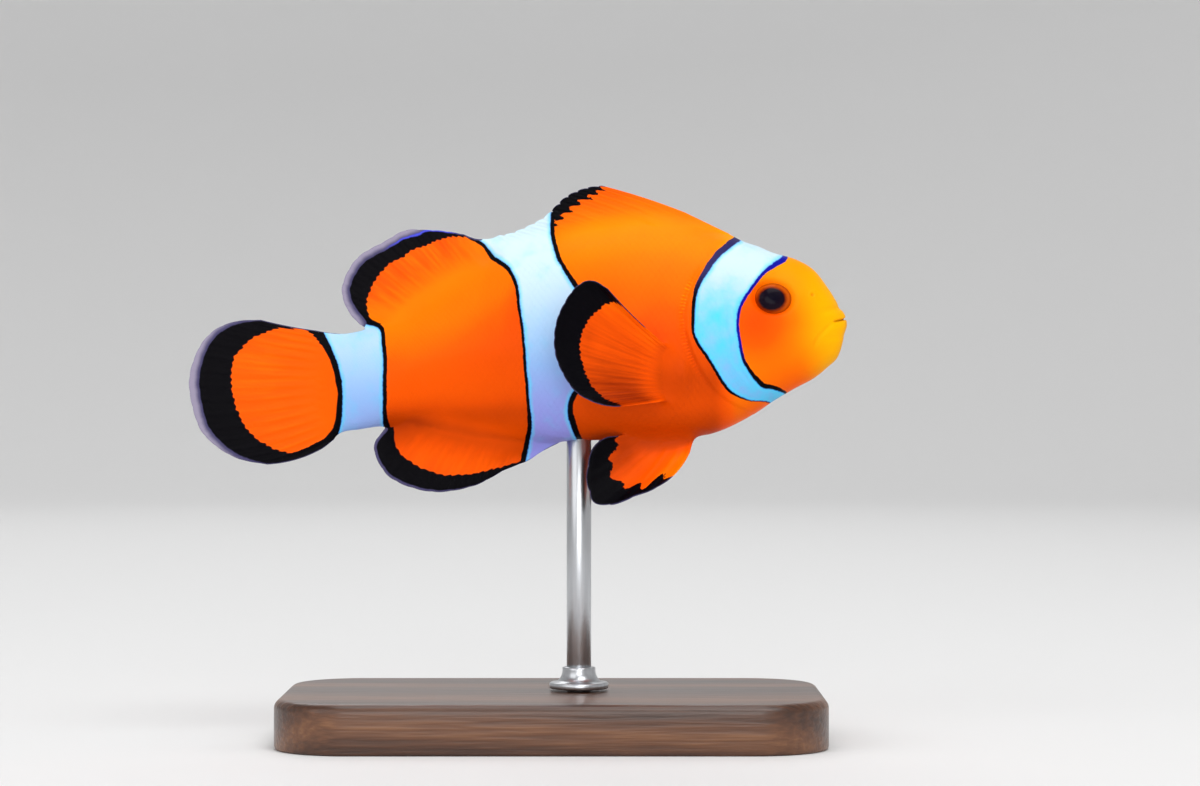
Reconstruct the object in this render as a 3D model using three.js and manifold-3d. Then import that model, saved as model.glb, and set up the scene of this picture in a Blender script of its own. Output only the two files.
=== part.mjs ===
// A clown anemonefish (Amphiprion ocellaris) as a still, life-size display model.
// It swims level with its nose slightly up, its fins spread, and is held over a
// flat base by one rod that enters the belly between the pelvic and anal fins.
//
// Frame: millimetres, +X towards the snout, +Z up, +Y towards the fish's left side.
// The origin is under the middle of the fish, on the surface that the base stands on.

import * as THREE from "three";
import { mergeVertices } from "three/addons/utils/BufferGeometryUtils.js";
import Module from "manifold-3d";

const wasm = await Module();
wasm.setup();

// ---------------------------------------------------------------- sizes

const SNOUT_X = 40; // the tip of the snout; the tail fin's rim is at -40
const GAP = 0.3; // between pieces that touch on the real fish

// The body's side and top outlines. Value n is at ROOT_STEP * n, where the "root" is
// the square root of the distance behind the snout, so that the snout comes out round.
const ROOT_STEP = 0.5;
const BACK = [
  51.0, 52.0, 53.2, 55.2, 57.4, 58.7, 59.5, 60.9, 62.0, 62.6, 62.7, 62.1, 60.9, 58.9, 55.8,
  50.9, 49.3,
];
const BELLY = [
  51.0, 49.2, 46.7, 45.4, 44.0, 42.8, 41.2, 39.1, 37.4, 36.6, 36.4, 36.5, 36.2, 36.5, 37.7,
  38.2, 36.9,
];
const HALF_WIDTH = [
  0, 1.45, 2.4, 3.2, 3.9, 4.5, 5.05, 5.6, 6.1, 6.5, 6.6, 6.35, 5.7, 4.9, 3.9, 2.75, 1.4,
];
const FIRST_ROOT = 0.04; // a pinpoint of a ring closes the snout
const LAST_ROOT = 8.0;
const BODY_RINGS = 38;
const BODY_SIDES = 26;
const RING_SPACING_POWER = 0.85; // under 1 puts the rings closer together at the tail
// Superellipse exponents of a section's halves: under 2 is a ridge, over 2 is full.
const BACK_ROUNDNESS = 1.9;
const BELLY_ROUNDNESS = 2.25;
const NAPE_ROUNDNESS = 1.72; // of the back, under the front dorsal fin
const KEEL_ROUNDNESS = [1.5, 1.55]; // of back and belly, between the rear dorsal and anal fins
const NAPE_X = [26, 18]; // where the back narrows
const KEEL_STARTS_X = [7, -4];
const KEEL_ENDS_X = [-13, -17.5];

// The tail is carried slightly to the right: how far its rim is from the mid-plane.
const TAIL_SWAY = -2.0;
const SWAY_STARTS_X = 0;

// Along x, in order from the snout: the gill opening, the trunk and the tail stalk.
const STALK_X = -14.5;
const BELOW_FISH = 20;
const ABOVE_FISH = 75;
const FAR = 60; // well outside the fish, sideways and lengthways

const EYE_CENTRE = [30.83, 3.75, 53.62];
const EYE_RADII = [2.3, 1.5, 1.95];
const EYE_TILT = 0.25; // radians: the eye looks a little upwards
const EYE_TURN = 0.15; // radians: and a little forwards
const EYE_SEGMENTS = [14, 8];

const BASE_X = 4.2;
const ROD_X = 7.4; // in front of the anal fin and between the pelvic fins
const ROD_RADIUS = 1.5;
const ROD_DEPTH_IN_BELLY = 3.5;
const BASE_SIZE = [66, 38, 6];
const BASE_CORNER = 9;
const BASE_BEVEL = 0.9;
const COLLAR_RADIUS = 3.6;
const COLLAR_HEIGHT = 2.6;
const ROUND_SIDES = 24; // of the rod and its collar

const COLOURS = {
  orange: 0xff7400,
  white: 0xdcefff,
  black: 0x0d0b12,
  steel: 0xb9bbbd,
  wood: 0x2e211a,
};

// ---------------------------------------------------------------- curves

function mix(a, b, share) {
  return a + (b - a) * share;
}

// 0 at the first place, 1 at the second and smooth between.
function smoothStep([start, end], x) {
  const share = Math.min(Math.max((x - start) / (end - start), 0), 1);
  return share * share * (3 - 2 * share);
}

// A smooth value between equally spaced ones, by a uniform Catmull-Rom spline.
function between(values, place) {
  const last = values.length - 1;
  const at = Math.min(Math.max(place, 0), last);
  const k = Math.min(Math.floor(at), last - 1);
  const f = at - k;
  const b = values[k];
  const c = values[k + 1];
  const a = k > 0 ? values[k - 1] : 2 * b - c;
  const d = k + 2 <= last ? values[k + 2] : 2 * c - b;
  return (
    0.5 *
    (2 * b +
      (c - a) * f +
      (2 * a - 5 * b + 4 * c - d) * f * f +
      (3 * b - a - 3 * c + d) * f * f * f)
  );
}

// A curve in the side view through [x, z] points, by its length: share runs from 0 to 1.
function sideCurve(points) {
  const curve = new THREE.SplineCurve(points.map(([x, z]) => new THREE.Vector2(x, z)));
  return (share) => curve.getPointAt(Math.min(Math.max(share, 0), 1));
}

function sway(x) {
  const back = Math.max(0, (SWAY_STARTS_X - x) / (SWAY_STARTS_X + SNOUT_X));
  return TAIL_SWAY * back * back;
}

function signedPower(value, power) {
  return Math.sign(value) * Math.abs(value) ** power;
}

// ---------------------------------------------------------------- solids

// Joins closed rings of equal length into one closed geometry. Each end is filled by
// strips between its first half and its second half.
function loft(rings) {
  const size = rings[0].length;
  const vertices = rings.flat(2);
  const faces = [];
  const at = (ring, k) => ring * size + (k % size);
  for (let r = 0; r + 1 < rings.length; r++) {
    for (let k = 0; k < size; k++) {
      faces.push(at(r, k), at(r + 1, k), at(r + 1, k + 1));
      faces.push(at(r, k), at(r + 1, k + 1), at(r, k + 1));
    }
  }
  for (let k = 0; k + 1 < size / 2; k++) {
    const mirror = size - 1 - k;
    faces.push(k, k + 1, mirror, k + 1, mirror - 1, mirror);
    const end = (rings.length - 1) * size;
    faces.push(end + k, end + mirror, end + k + 1);
    faces.push(end + k + 1, end + mirror, end + mirror - 1);
  }
  const geometry = new THREE.BufferGeometry();
  geometry.setAttribute("position", new THREE.Float32BufferAttribute(vertices, 3));
  geometry.setIndex(faces);
  return geometry;
}

function signedVolume(geometry) {
  const place = geometry.attributes.position;
  const index = geometry.index.array;
  const [a, b, c] = [new THREE.Vector3(), new THREE.Vector3(), new THREE.Vector3()];
  let volume = 0;
  for (let k = 0; k < index.length; k += 3) {
    a.fromBufferAttribute(place, index[k]);
    b.fromBufferAttribute(place, index[k + 1]);
    c.fromBufferAttribute(place, index[k + 2]);
    volume += a.dot(b.cross(c)) / 6;
  }
  return volume;
}

// A closed three.js geometry as a manifold solid, with its faces turned outwards.
function solid(geometry) {
  const bare = geometry.clone();
  bare.deleteAttribute("normal");
  bare.deleteAttribute("uv");
  const merged = mergeVertices(bare, 1e-4);
  const triVerts = new Uint32Array(merged.index.array);
  if (signedVolume(merged) < 0) triVerts.reverse();
  return new wasm.Manifold(
    new wasm.Mesh({ numProp: 3, vertProperties: merged.attributes.position.array, triVerts }),
  );
}

// The largest of a solid's separate bodies, which drops the slivers that a cut leaves.
function largest(shape) {
  return shape.decompose().reduce((best, one) => (one.volume() > best.volume() ? one : best));
}

function mesh(name, shape, colour, roughness = 0.4, metalness = 0) {
  const { vertProperties, triVerts, numProp } = largest(shape).getMesh();
  const geometry = new THREE.BufferGeometry();
  const places = [];
  for (let k = 0; k < vertProperties.length; k += numProp) {
    places.push(vertProperties[k], vertProperties[k + 1], vertProperties[k + 2]);
  }
  geometry.setAttribute("position", new THREE.Float32BufferAttribute(places, 3));
  geometry.setIndex([...triVerts]);
  geometry.computeVertexNormals();
  const material = new THREE.MeshStandardMaterial({ color: colour, roughness, metalness });
  const made = new THREE.Mesh(geometry, material);
  made.name = name;
  return made;
}

// A prism through the fish: a side-view outline of [x, z] points, from one y to another.
function prism(outline, fromY, toY) {
  const shape = new THREE.Shape(outline.map(([x, z]) => new THREE.Vector2(x, z)));
  const geometry = new THREE.ExtrudeGeometry(shape, {
    depth: toY - fromY,
    bevelEnabled: false,
  });
  geometry.rotateX(Math.PI / 2);
  geometry.translate(0, toY, 0);
  return solid(geometry);
}

// The same outline, moved outwards by a distance; inwards where it is negative.
function widened(outline, distance) {
  const area = outline.reduce((sum, [x, z], k) => {
    const [nextX, nextZ] = outline[(k + 1) % outline.length];
    return sum + (x * nextZ - nextX * z) / 2;
  }, 0);
  return outline.map(([x, z], k) => {
    const before = outline[(k + outline.length - 1) % outline.length];
    const after = outline[(k + 1) % outline.length];
    const along = new THREE.Vector2(after[0] - before[0], after[1] - before[1]).normalize();
    const outwards = Math.sign(area) * distance;
    return [x + along.y * outwards, z - along.x * outwards];
  });
}

function sampled(points, steps) {
  const curve = sideCurve(points);
  return Array.from({ length: steps + 1 }, (_, k) => curve(k / steps).toArray());
}

function mirrored(outline) {
  return outline.mirror([0, 1, 0]);
}

// ---------------------------------------------------------------- body

// The exponents of the back and the belly at x. The flesh narrows where it carries a fin.
function roundness(x) {
  const nape = smoothStep(NAPE_X, x);
  const keel = smoothStep(KEEL_STARTS_X, x) * (1 - smoothStep(KEEL_ENDS_X, x));
  const back = mix(BACK_ROUNDNESS, NAPE_ROUNDNESS, nape);
  return [mix(back, KEEL_ROUNDNESS[0], keel), mix(BELLY_ROUNDNESS, KEEL_ROUNDNESS[1], keel)];
}

// One ring of the body, at a root, with its surface moved out by grow.
function bodyRing(root, grow) {
  const place = root / ROOT_STEP;
  const top = between(BACK, place) + grow;
  const bottom = between(BELLY, place) - grow;
  const half = between(HALF_WIDTH, place) + grow;
  const x = SNOUT_X - root * root;
  const middle = (top + bottom) / 2;
  const [back, belly] = roundness(x);
  return Array.from({ length: BODY_SIDES }, (_, k) => {
    const angle = ((k + 0.5) / BODY_SIDES) * 2 * Math.PI;
    const power = 2 / (Math.sin(angle) > 0 ? back : belly);
    return [
      x,
      sway(x) + half * signedPower(Math.cos(angle), power),
      middle + ((top - bottom) / 2) * signedPower(Math.sin(angle), power),
    ];
  });
}

function wholeBody(grow = 0) {
  const rings = Array.from({ length: BODY_RINGS + 1 }, (_, k) => {
    const share = (k / BODY_RINGS) ** RING_SPACING_POWER;
    return bodyRing(FIRST_ROOT + (LAST_ROOT - FIRST_ROOT) * share, grow);
  });
  if (grow > 0) {
    rings.unshift(rings[0].map(([x, y, z]) => [x + grow, y * 0.5, z]));
    rings.push(rings[rings.length - 1].map(([x, y, z]) => [x - grow, y, z]));
  }
  return solid(loft(rings));
}

// The gill opening, from the nape round behind the gill cover to the throat.
const GILL_LINE = [
  [28.2, 64.5],
  [26.4, 61.5],
  [22.2, 57.1],
  [20.3, 52.4],
  [20.9, 47.6],
  [23.9, 42.6],
  [28.2, 39.9],
  [34.5, 36.5],
];
// The gill cover's front edge, behind the cheek.
const CHEEK_LINE = [
  [28.4, 43.0],
  [26.4, 46.2],
  [25.6, 50.0],
  [25.4, 53.4],
  [24.2, 55.8],
];
const GILL_COVER_INNER_Y = 3.2; // the plate lies outside this
const CHEEK_STEPS = 8;
const GILL_STEPS = 18;
const GILL_COVER_STEPS = [5, 13]; // the steps of the gill line that edge the cover

const gillLine = sampled(GILL_LINE, GILL_STEPS);
const shifted = (points, by) => points.map(([x, z]) => [x + by, z]);
const [gillTop, gillBottom] = [gillLine[0], gillLine[GILL_STEPS]];
const headRegion = [...shifted(gillLine, GAP / 2), [FAR, gillBottom[1]], [FAR, gillTop[1]]];
const behindGill = [
  ...shifted(gillLine, -GAP / 2),
  [gillBottom[0], BELOW_FISH],
  [STALK_X + GAP / 2, BELOW_FISH],
  [STALK_X + GAP / 2, ABOVE_FISH],
  [gillTop[0], ABOVE_FISH],
];
const stalkRegion = [
  [STALK_X - GAP / 2, ABOVE_FISH],
  [STALK_X - GAP / 2, BELOW_FISH],
  [-FAR, BELOW_FISH],
  [-FAR, ABOVE_FISH],
];
const gillCover = [
  ...sampled(CHEEK_LINE, CHEEK_STEPS),
  ...shifted(gillLine.slice(GILL_COVER_STEPS[0], GILL_COVER_STEPS[1] + 1), GAP / 2),
];
// The lower jaw: below the mouth's slit, in front of the jaw's joint.
const JAW = [
  [FAR, 51.2],
  [38.4, 51.1],
  [36.6, 49.9],
  [35.2, 47.8],
  [35.6, 45.4],
  [37.2, 42.6],
  [FAR, 42.6],
];

const body = wholeBody();
const bodyAndGap = wholeBody(GAP);

function eye(grow) {
  const ball = new THREE.SphereGeometry(1, ...EYE_SEGMENTS);
  ball.scale(...EYE_RADII.map((radius) => radius + grow));
  ball.rotateX(EYE_TILT);
  ball.rotateZ(-EYE_TURN);
  ball.translate(...EYE_CENTRE);
  return solid(ball);
}

function both(shape) {
  return shape.add(mirrored(shape));
}

const wholeHead = body
  .intersect(prism(headRegion, -FAR, FAR))
  .subtract(both(eye(GAP)));
const jaw = wholeHead.intersect(prism(JAW, -FAR, FAR));
const gillPlate = prism(gillCover, GILL_COVER_INNER_Y, FAR);
const gillPlateAndGap = prism(widened(gillCover, GAP), GILL_COVER_INNER_Y - GAP, FAR);
const head = wholeHead
  .subtract(prism(widened(JAW, GAP), -FAR, FAR))
  .subtract(both(gillPlateAndGap));
const gillCoverLeft = wholeHead.intersect(gillPlate);

const bellyAtRod = between(BELLY, Math.sqrt(SNOUT_X - ROD_X) / ROOT_STEP);
const rodTop = bellyAtRod + ROD_DEPTH_IN_BELLY;

function rod(radius, fromZ, toZ) {
  const made = new THREE.CylinderGeometry(radius, radius, toZ - fromZ, ROUND_SIDES);
  made.rotateX(Math.PI / 2);
  made.translate(ROD_X, 0, (fromZ + toZ) / 2);
  return solid(made);
}

const trunk = body
  .intersect(prism(behindGill, -FAR, FAR))
  .subtract(rod(ROD_RADIUS + GAP, BELOW_FISH, rodTop + GAP));
const tailStalk = body.intersect(prism(stalkRegion, -FAR, FAR));

// ---------------------------------------------------------------- fins

const FLESH_RISE = 5; // the flesh at a fin's base is full after a fifth of its width

// A fin as a thin solid, root thick where it starts and edge thick at its rim. Its rays
// run from the base curve to the margin curve, as seen from the side; outwards(across,
// along) gives its y, and bow bends the rays of the leading edge (first number) and the
// trailing edge (second). Flesh thickens each side at the base, over fleshLength.
function fin({
  base,
  margin,
  rays,
  steps,
  root,
  edge,
  outwards = () => 0,
  bow = [0, 0],
  flesh = 0,
  fleshLength = 3.2,
}) {
  const baseCurve = sideCurve(base);
  const marginCurve = sideCurve(margin);
  const rings = Array.from({ length: rays + 1 }, (_, r) => {
    const across = r / rays;
    const start = baseCurve(across);
    const tip = marginCurve(across);
    const aside = new THREE.Vector2(start.y - tip.y, tip.x - start.x).normalize();
    const bend = mix(bow[0], bow[1], across);
    const length = start.distanceTo(tip);
    const ends = Math.min(1, FLESH_RISE * across, FLESH_RISE * (1 - across));
    const side = (sign) =>
      Array.from({ length: steps + 1 }, (__, s) => {
        const along = s / steps;
        const place = start.clone().lerp(tip, along);
        place.addScaledVector(aside, bend * 4 * along * (1 - along));
        const sheath = ends * flesh * Math.exp(-(((along * length) / fleshLength) ** 2));
        const half = Math.hypot(mix(root, edge, along) / 2, sheath);
        return [
          place.x,
          sway(place.x) + outwards(across, along) + sign * half,
          place.y,
        ];
      });
    return [...side(1), ...side(-1).reverse()];
  });
  return solid(loft(rings)).subtract(bodyAndGap);
}

const FRONT_DORSAL_BASE = [
  [27.6, 61.0],
  [22.0, 60.9],
  [16.1, 60.6],
  [10.0, 60.2],
  [3.9, 58.8],
  [-1.0, 57.0],
];
const FRONT_DORSAL_MARGIN = [
  [10.2, 67.6],
  [8.1, 67.3],
  [5.7, 66.2],
  [3.4, 64.0],
  [1.6, 62.9],
  [-1.4, 61.7],
  [-4.2, 61.2],
];
const REAR_DORSAL_BASE = [
  [-1.4, 56.8],
  [-5.3, 55.0],
  [-8.8, 53.0],
  [-12.0, 50.8],
  [-15.6, 48.9],
];
const REAR_DORSAL_MARGIN = [
  [-4.6, 61.3],
  [-8.6, 62.0],
  [-11.3, 62.2],
  [-13.8, 62.15],
  [-16.3, 60.8],
  [-19.6, 58.8],
  [-21.4, 55.6],
  [-21.1, 53.0],
  [-19.4, 50.5],
];
const ANAL_BASE = [
  [5.8, 37.6],
  [2.0, 37.6],
  [-3.5, 38.0],
  [-9.6, 39.4],
  [-14.8, 40.2],
];
const ANAL_MARGIN = [
  [5.2, 36.2],
  [2.8, 35.0],
  [0.9, 33.9],
  [-1.6, 32.9],
  [-5.3, 31.0],
  [-9.6, 30.2],
  [-13.2, 30.8],
  [-16.0, 32.3],
  [-17.5, 34.9],
  [-17.35, 36.6],
  [-16.2, 38.0],
];
const TAIL_BASE = [
  [-21.6, 49.6],
  [-21.6, 37.1],
];
const TAIL_MARGIN = [
  [-31.3, 51.2],
  [-34.4, 51.0],
  [-37.1, 49.8],
  [-39.0, 47.3],
  [-39.95, 43.4],
  [-38.9, 38.5],
  [-36.9, 36.0],
  [-34.0, 34.3],
  [-30.5, 33.6],
];
const PECTORAL_BASE = [
  [19.3, 46.9],
  [18.5, 41.4],
];
const PECTORAL_MARGIN = [
  [10.9, 54.6],
  [8.9, 55.6],
  [6.9, 54.6],
  [5.0, 51.4],
  [4.5, 48.2],
  [5.1, 45.5],
  [6.9, 42.6],
  [9.2, 41.2],
  [11.4, 40.7],
  [13.4, 40.8],
];
const PELVIC_BASE = [
  [21.6, 37.7],
  [15.6, 37.6],
];
const PELVIC_MARGIN = [
  [18.1, 31.7],
  [16.3, 30.6],
  [14.4, 29.9],
  [12.8, 29.2],
  [10.9, 28.7],
  [9.0, 29.3],
  [8.3, 32.1],
  [8.7, 34.7],
  [9.6, 36.3],
  [10.9, 37.0],
];

const frontDorsal = fin({
  base: FRONT_DORSAL_BASE,
  margin: FRONT_DORSAL_MARGIN,
  rays: 18,
  steps: 4,
  root: 0.9,
  edge: 0.6,
  bow: [-0.55, 0],
  flesh: 1.75,
  fleshLength: 4.2,
});
const rearDorsal = fin({
  base: REAR_DORSAL_BASE,
  margin: REAR_DORSAL_MARGIN,
  rays: 18,
  steps: 5,
  root: 0.9,
  edge: 0.55,
  flesh: 1.3,
});
const analFin = fin({
  base: ANAL_BASE,
  margin: ANAL_MARGIN,
  rays: 18,
  steps: 5,
  root: 0.9,
  edge: 0.55,
  flesh: 1.3,
});
const tailFin = fin({
  base: TAIL_BASE,
  margin: TAIL_MARGIN,
  rays: 20,
  steps: 6,
  root: 2.2,
  edge: 0.55,
  bow: [0.22, 0.8],
});

// The left pectoral fin stands out from the flank, its upper edge the further out.
const PECTORAL_ROOT_Y = 5.9;
const PECTORAL_REACH = [7.6, 4.6];
const PECTORAL_CUP = 0.85; // under 1 bends the fin's rim back towards the flank
const PECTORAL_WAVE = 0.5;
const WAVES = 1.25; // a paired fin swings out and in so many times over its width
const wave = (across, along) => Math.sin(WAVES * 2 * Math.PI * across) * along ** 2;
const pectoralLeft = fin({
  base: PECTORAL_BASE,
  margin: PECTORAL_MARGIN,
  rays: 18,
  steps: 6,
  root: 1.1,
  edge: 0.55,
  outwards: (across, along) =>
    PECTORAL_ROOT_Y +
    mix(PECTORAL_REACH[0], PECTORAL_REACH[1], across) * along ** PECTORAL_CUP +
    PECTORAL_WAVE * wave(across, along),
  bow: [0.3, 0],
});

// The left pelvic fin hangs from the belly and spreads outwards.
const PELVIC_ROOT_Y = 1.5;
const PELVIC_REACH = [3.4, 2.2];
const PELVIC_WAVE = 0.25;
const pelvicLeft = fin({
  base: PELVIC_BASE,
  margin: PELVIC_MARGIN,
  rays: 14,
  steps: 6,
  root: 1.1,
  edge: 0.55,
  outwards: (across, along) =>
    PELVIC_ROOT_Y +
    mix(PELVIC_REACH[0], PELVIC_REACH[1], across) * along +
    PELVIC_WAVE * wave(across, along),
  bow: [0.7, 0],
});

// ---------------------------------------------------------------- stand

const [baseLength, baseWidth, baseHeight] = BASE_SIZE;

function standBase() {
  const [halfX, halfY] = [baseLength / 2 - BASE_BEVEL, baseWidth / 2 - BASE_BEVEL];
  const corner = BASE_CORNER - BASE_BEVEL;
  const outline = new THREE.Shape();
  outline.absarc(halfX - corner, halfY - corner, corner, 0, Math.PI / 2);
  outline.absarc(corner - halfX, halfY - corner, corner, Math.PI / 2, Math.PI);
  outline.absarc(corner - halfX, corner - halfY, corner, Math.PI, 1.5 * Math.PI);
  outline.absarc(halfX - corner, corner - halfY, corner, 1.5 * Math.PI, 2 * Math.PI);
  const plate = new THREE.ExtrudeGeometry(outline, {
    depth: baseHeight - 2 * BASE_BEVEL,
    bevelThickness: BASE_BEVEL,
    bevelSize: BASE_BEVEL,
    bevelSegments: 1,
    curveSegments: 6,
  });
  plate.translate(BASE_X, 0, BASE_BEVEL);
  return solid(plate).subtract(rod(ROD_RADIUS + GAP, baseHeight / 2 - GAP, baseHeight + 1));
}

function collar() {
  const bottom = baseHeight + GAP;
  const top = bottom + COLLAR_HEIGHT;
  const inner = ROD_RADIUS + GAP;
  const profile = [
    [inner, bottom],
    [COLLAR_RADIUS, bottom],
    [COLLAR_RADIUS, top - 1.3],
    [COLLAR_RADIUS - 0.5, top - 0.5],
    [inner + 0.5, top],
    [inner, top],
    [inner, bottom],
  ];
  const ring = new THREE.LatheGeometry(
    profile.map(([radius, height]) => new THREE.Vector2(radius, height)),
    ROUND_SIDES,
  );
  ring.rotateX(Math.PI / 2);
  ring.translate(ROD_X, 0, 0);
  return solid(ring);
}

// ---------------------------------------------------------------- the model

function pair(name, left, colour, roughness) {
  return [
    mesh(`${name}_left`, left, colour, roughness),
    mesh(`${name}_right`, mirrored(left), colour, roughness),
  ];
}

const clownfish = new THREE.Group();
clownfish.add(
  mesh("head", head, COLOURS.orange),
  mesh("lower_jaw", jaw, COLOURS.orange),
  ...pair("gill_cover", gillCoverLeft, COLOURS.white),
  mesh("trunk", trunk, COLOURS.orange),
  mesh("tail_stalk", tailStalk, COLOURS.white),
  mesh("dorsal_fin_front", frontDorsal, COLOURS.orange),
  mesh("dorsal_fin_rear", rearDorsal, COLOURS.orange),
  mesh("anal_fin", analFin, COLOURS.orange),
  mesh("tail_fin", tailFin, COLOURS.orange),
  ...pair("pectoral_fin", pectoralLeft, COLOURS.orange),
  ...pair("pelvic_fin", pelvicLeft, COLOURS.orange),
  ...pair("eye", eye(0), COLOURS.black, 0.05),
  mesh("stand_base", standBase(), COLOURS.wood, 0.45),
  mesh("stand_rod", rod(ROD_RADIUS, baseHeight / 2, rodTop), COLOURS.steel, 0.3, 1),
  mesh("stand_collar", collar(), COLOURS.steel, 0.3, 1),
);

export default clownfish;
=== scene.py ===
"""The looks of a life-size clownfish (Amphiprion ocellaris) on a display stand.

One skin stands for all the flesh and fins. It repeats the outlines of the CAD solids at a
finer grain and adds lips, nostrils, eye sockets, gill covers and fin rays as geometry.
Its markings are distances, in millimetres, from named outlines.

Frame: +X towards the snout, +Z up, +Y towards the fish's left side. Shapes are worked out
in millimetres, in the CAD's frame, and turned into metres when their mesh is made.
"""

import bmesh
import bpy
import numpy as np
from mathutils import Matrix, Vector
from mathutils.bvhtree import BVHTree
from mathutils.interpolate import poly_3d_calc
from mathutils.kdtree import KDTree


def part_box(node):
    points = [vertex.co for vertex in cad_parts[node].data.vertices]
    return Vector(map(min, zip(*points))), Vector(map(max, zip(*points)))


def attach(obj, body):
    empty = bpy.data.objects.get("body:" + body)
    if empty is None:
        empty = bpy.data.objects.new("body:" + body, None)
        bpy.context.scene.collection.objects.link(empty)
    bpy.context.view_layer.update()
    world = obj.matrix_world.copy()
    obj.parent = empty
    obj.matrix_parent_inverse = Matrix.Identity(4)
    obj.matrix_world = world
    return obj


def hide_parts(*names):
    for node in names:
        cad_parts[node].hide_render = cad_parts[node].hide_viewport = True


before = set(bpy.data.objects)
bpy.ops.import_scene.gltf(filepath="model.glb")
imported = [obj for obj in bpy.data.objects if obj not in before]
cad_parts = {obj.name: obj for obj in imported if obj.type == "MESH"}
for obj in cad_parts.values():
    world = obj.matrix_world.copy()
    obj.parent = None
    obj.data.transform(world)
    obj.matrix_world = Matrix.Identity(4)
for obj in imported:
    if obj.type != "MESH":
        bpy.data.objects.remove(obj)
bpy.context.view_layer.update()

MM = 0.001
NOT_HERE = 9.0  # mm: a distance that keeps a marking away

# ------------------------------------------------------------------ sizes, as in the CAD

SNOUT_X = 40.0
ROOT_STEP = 0.5  # the "root" is the square root of the distance behind the snout
BACK = [51.0, 52.0, 53.2, 55.2, 57.4, 58.7, 59.5, 60.9, 62.0, 62.6, 62.7, 62.1, 60.9, 58.9,
        55.8, 50.9, 49.3]
BELLY = [51.0, 49.2, 46.7, 45.4, 44.0, 42.8, 41.2, 39.1, 37.4, 36.6, 36.4, 36.5, 36.2, 36.5,
         37.7, 38.2, 36.9]
HALF_WIDTH = [0, 1.45, 2.4, 3.2, 3.9, 4.5, 5.05, 5.6, 6.1, 6.5, 6.6, 6.35, 5.7, 4.9, 3.9,
              2.75, 1.4]
BACK_ROUNDNESS = 1.9
BELLY_ROUNDNESS = 2.25
NAPE_ROUNDNESS = 1.72
KEEL_ROUNDNESS = (1.50, 1.55)  # above and below, where the flesh carries a fin
TAIL_SWAY = -2.0
SKIN_INSET = 0.06  # the skin lies this far inside the solids
LEAST_HALF = 0.02  # half the least width and height of a section

FIRST_ROOT = 0.04  # the root of the first section, where a cap closes the snout
TAPER_X = -17.5  # behind this the flesh of the stalk thins out between the tail's rays
FLESH_END_X = -26.5

EYE_CENTRE = np.array([30.83, 3.75, 53.62])
EYE_RADII = np.array([2.3, 1.5, 1.95])
EYE_TILT = 0.25
EYE_TURN = 0.15
EYE_BLUNTNESS = 3.2
SOCKET = (0.92, 1.38)  # over these shares of the eye's radius, skin comes up to the face
SOCKET_FLOOR = 0.36

GILL_LINE = [[28.2, 64.5], [26.4, 61.5], [22.2, 57.1], [20.3, 52.4], [20.9, 47.6],
             [23.9, 42.6], [28.2, 39.9], [34.5, 36.5]]
CHEEK_LINE = [[28.4, 43.0], [26.4, 46.2], [25.6, 50.0], [25.4, 53.4], [24.2, 55.8]]

# ------------------------------------------------------------------ numbers and curves


def between(values, place):
    """A smooth value between equally spaced ones, by a uniform Catmull-Rom spline."""
    v = np.asarray(values, float)
    v = np.concatenate([[2 * v[0] - v[1]], v, [2 * v[-1] - v[-2]]])
    place = np.clip(place, 0, len(values) - 1)
    k = np.minimum(place.astype(int), len(values) - 2)
    return catmull_rom(v[k], v[k + 1], v[k + 2], v[k + 3], place - k)


def catmull_rom(a, b, c, d, f):
    cubic = (3 * b - a - 3 * c + d) * f**3
    return 0.5 * (2 * b + (c - a) * f + (2 * a - 5 * b + 4 * c - d) * f * f + cubic)


def smooth_curve(points, steps=24):
    """Points along the smooth curve through the given ones; further columns ride along."""
    p = np.asarray(points, float)
    t = np.linspace(0, len(p) - 1, (len(p) - 1) * steps + 1)
    k = np.minimum(t.astype(int), len(p) - 2)
    held = np.vstack([p[:1], p, p[-1:]])
    return catmull_rom(held[k], held[k + 1], held[k + 2], held[k + 3], (t - k)[:, None])


def along_curve(points, share):
    """The smooth curve's points at shares of its length."""
    p = smooth_curve(points)
    steps = np.linalg.norm(np.diff(p[:, :2], axis=0), axis=1)
    run = np.concatenate([[0], np.cumsum(steps)])
    return np.stack([np.interp(share * run[-1], run, column) for column in p.T], -1)


def smooth_step(low, high, value):
    """0 at low, 1 at high and smooth between; low may be the larger."""
    t = np.clip((value - low) / (high - low), 0, 1)
    return t * t * (3 - 2 * t)


def mix(a, b, share):
    return a + (b - a) * share


def bell(value, width):
    return np.exp(-((value / width) ** 2))


def nearest_on(line, x, z):
    """Distance to a polyline, with its third column and the length run at the nearest place."""
    a, b = line[:-1], line[1:]
    step = b[:, :2] - a[:, :2]
    size2 = np.maximum((step**2).sum(1), 1e-12)
    run = np.concatenate([[0], np.cumsum(np.sqrt(size2))])
    best, extra, length = np.full(x.shape, 1e9), np.zeros(x.shape), np.zeros(x.shape)
    for k in range(len(a)):
        t = ((x - a[k, 0]) * step[k, 0] + (z - a[k, 1]) * step[k, 1]) / size2[k]
        t = np.clip(t, 0, 1)
        d2 = (x - a[k, 0] - t * step[k, 0]) ** 2 + (z - a[k, 1] - t * step[k, 1]) ** 2
        nearer = d2 < best
        best = np.where(nearer, d2, best)
        length = np.where(nearer, run[k] + t * (run[k + 1] - run[k]), length)
        if line.shape[1] > 2:
            extra = np.where(nearer, a[k, 2] + t * (b[k, 2] - a[k, 2]), extra)
    return np.sqrt(best), extra, length


def nearest_on_curve(points, x, z):
    return nearest_on(smooth_curve(points), x, z)


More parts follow.
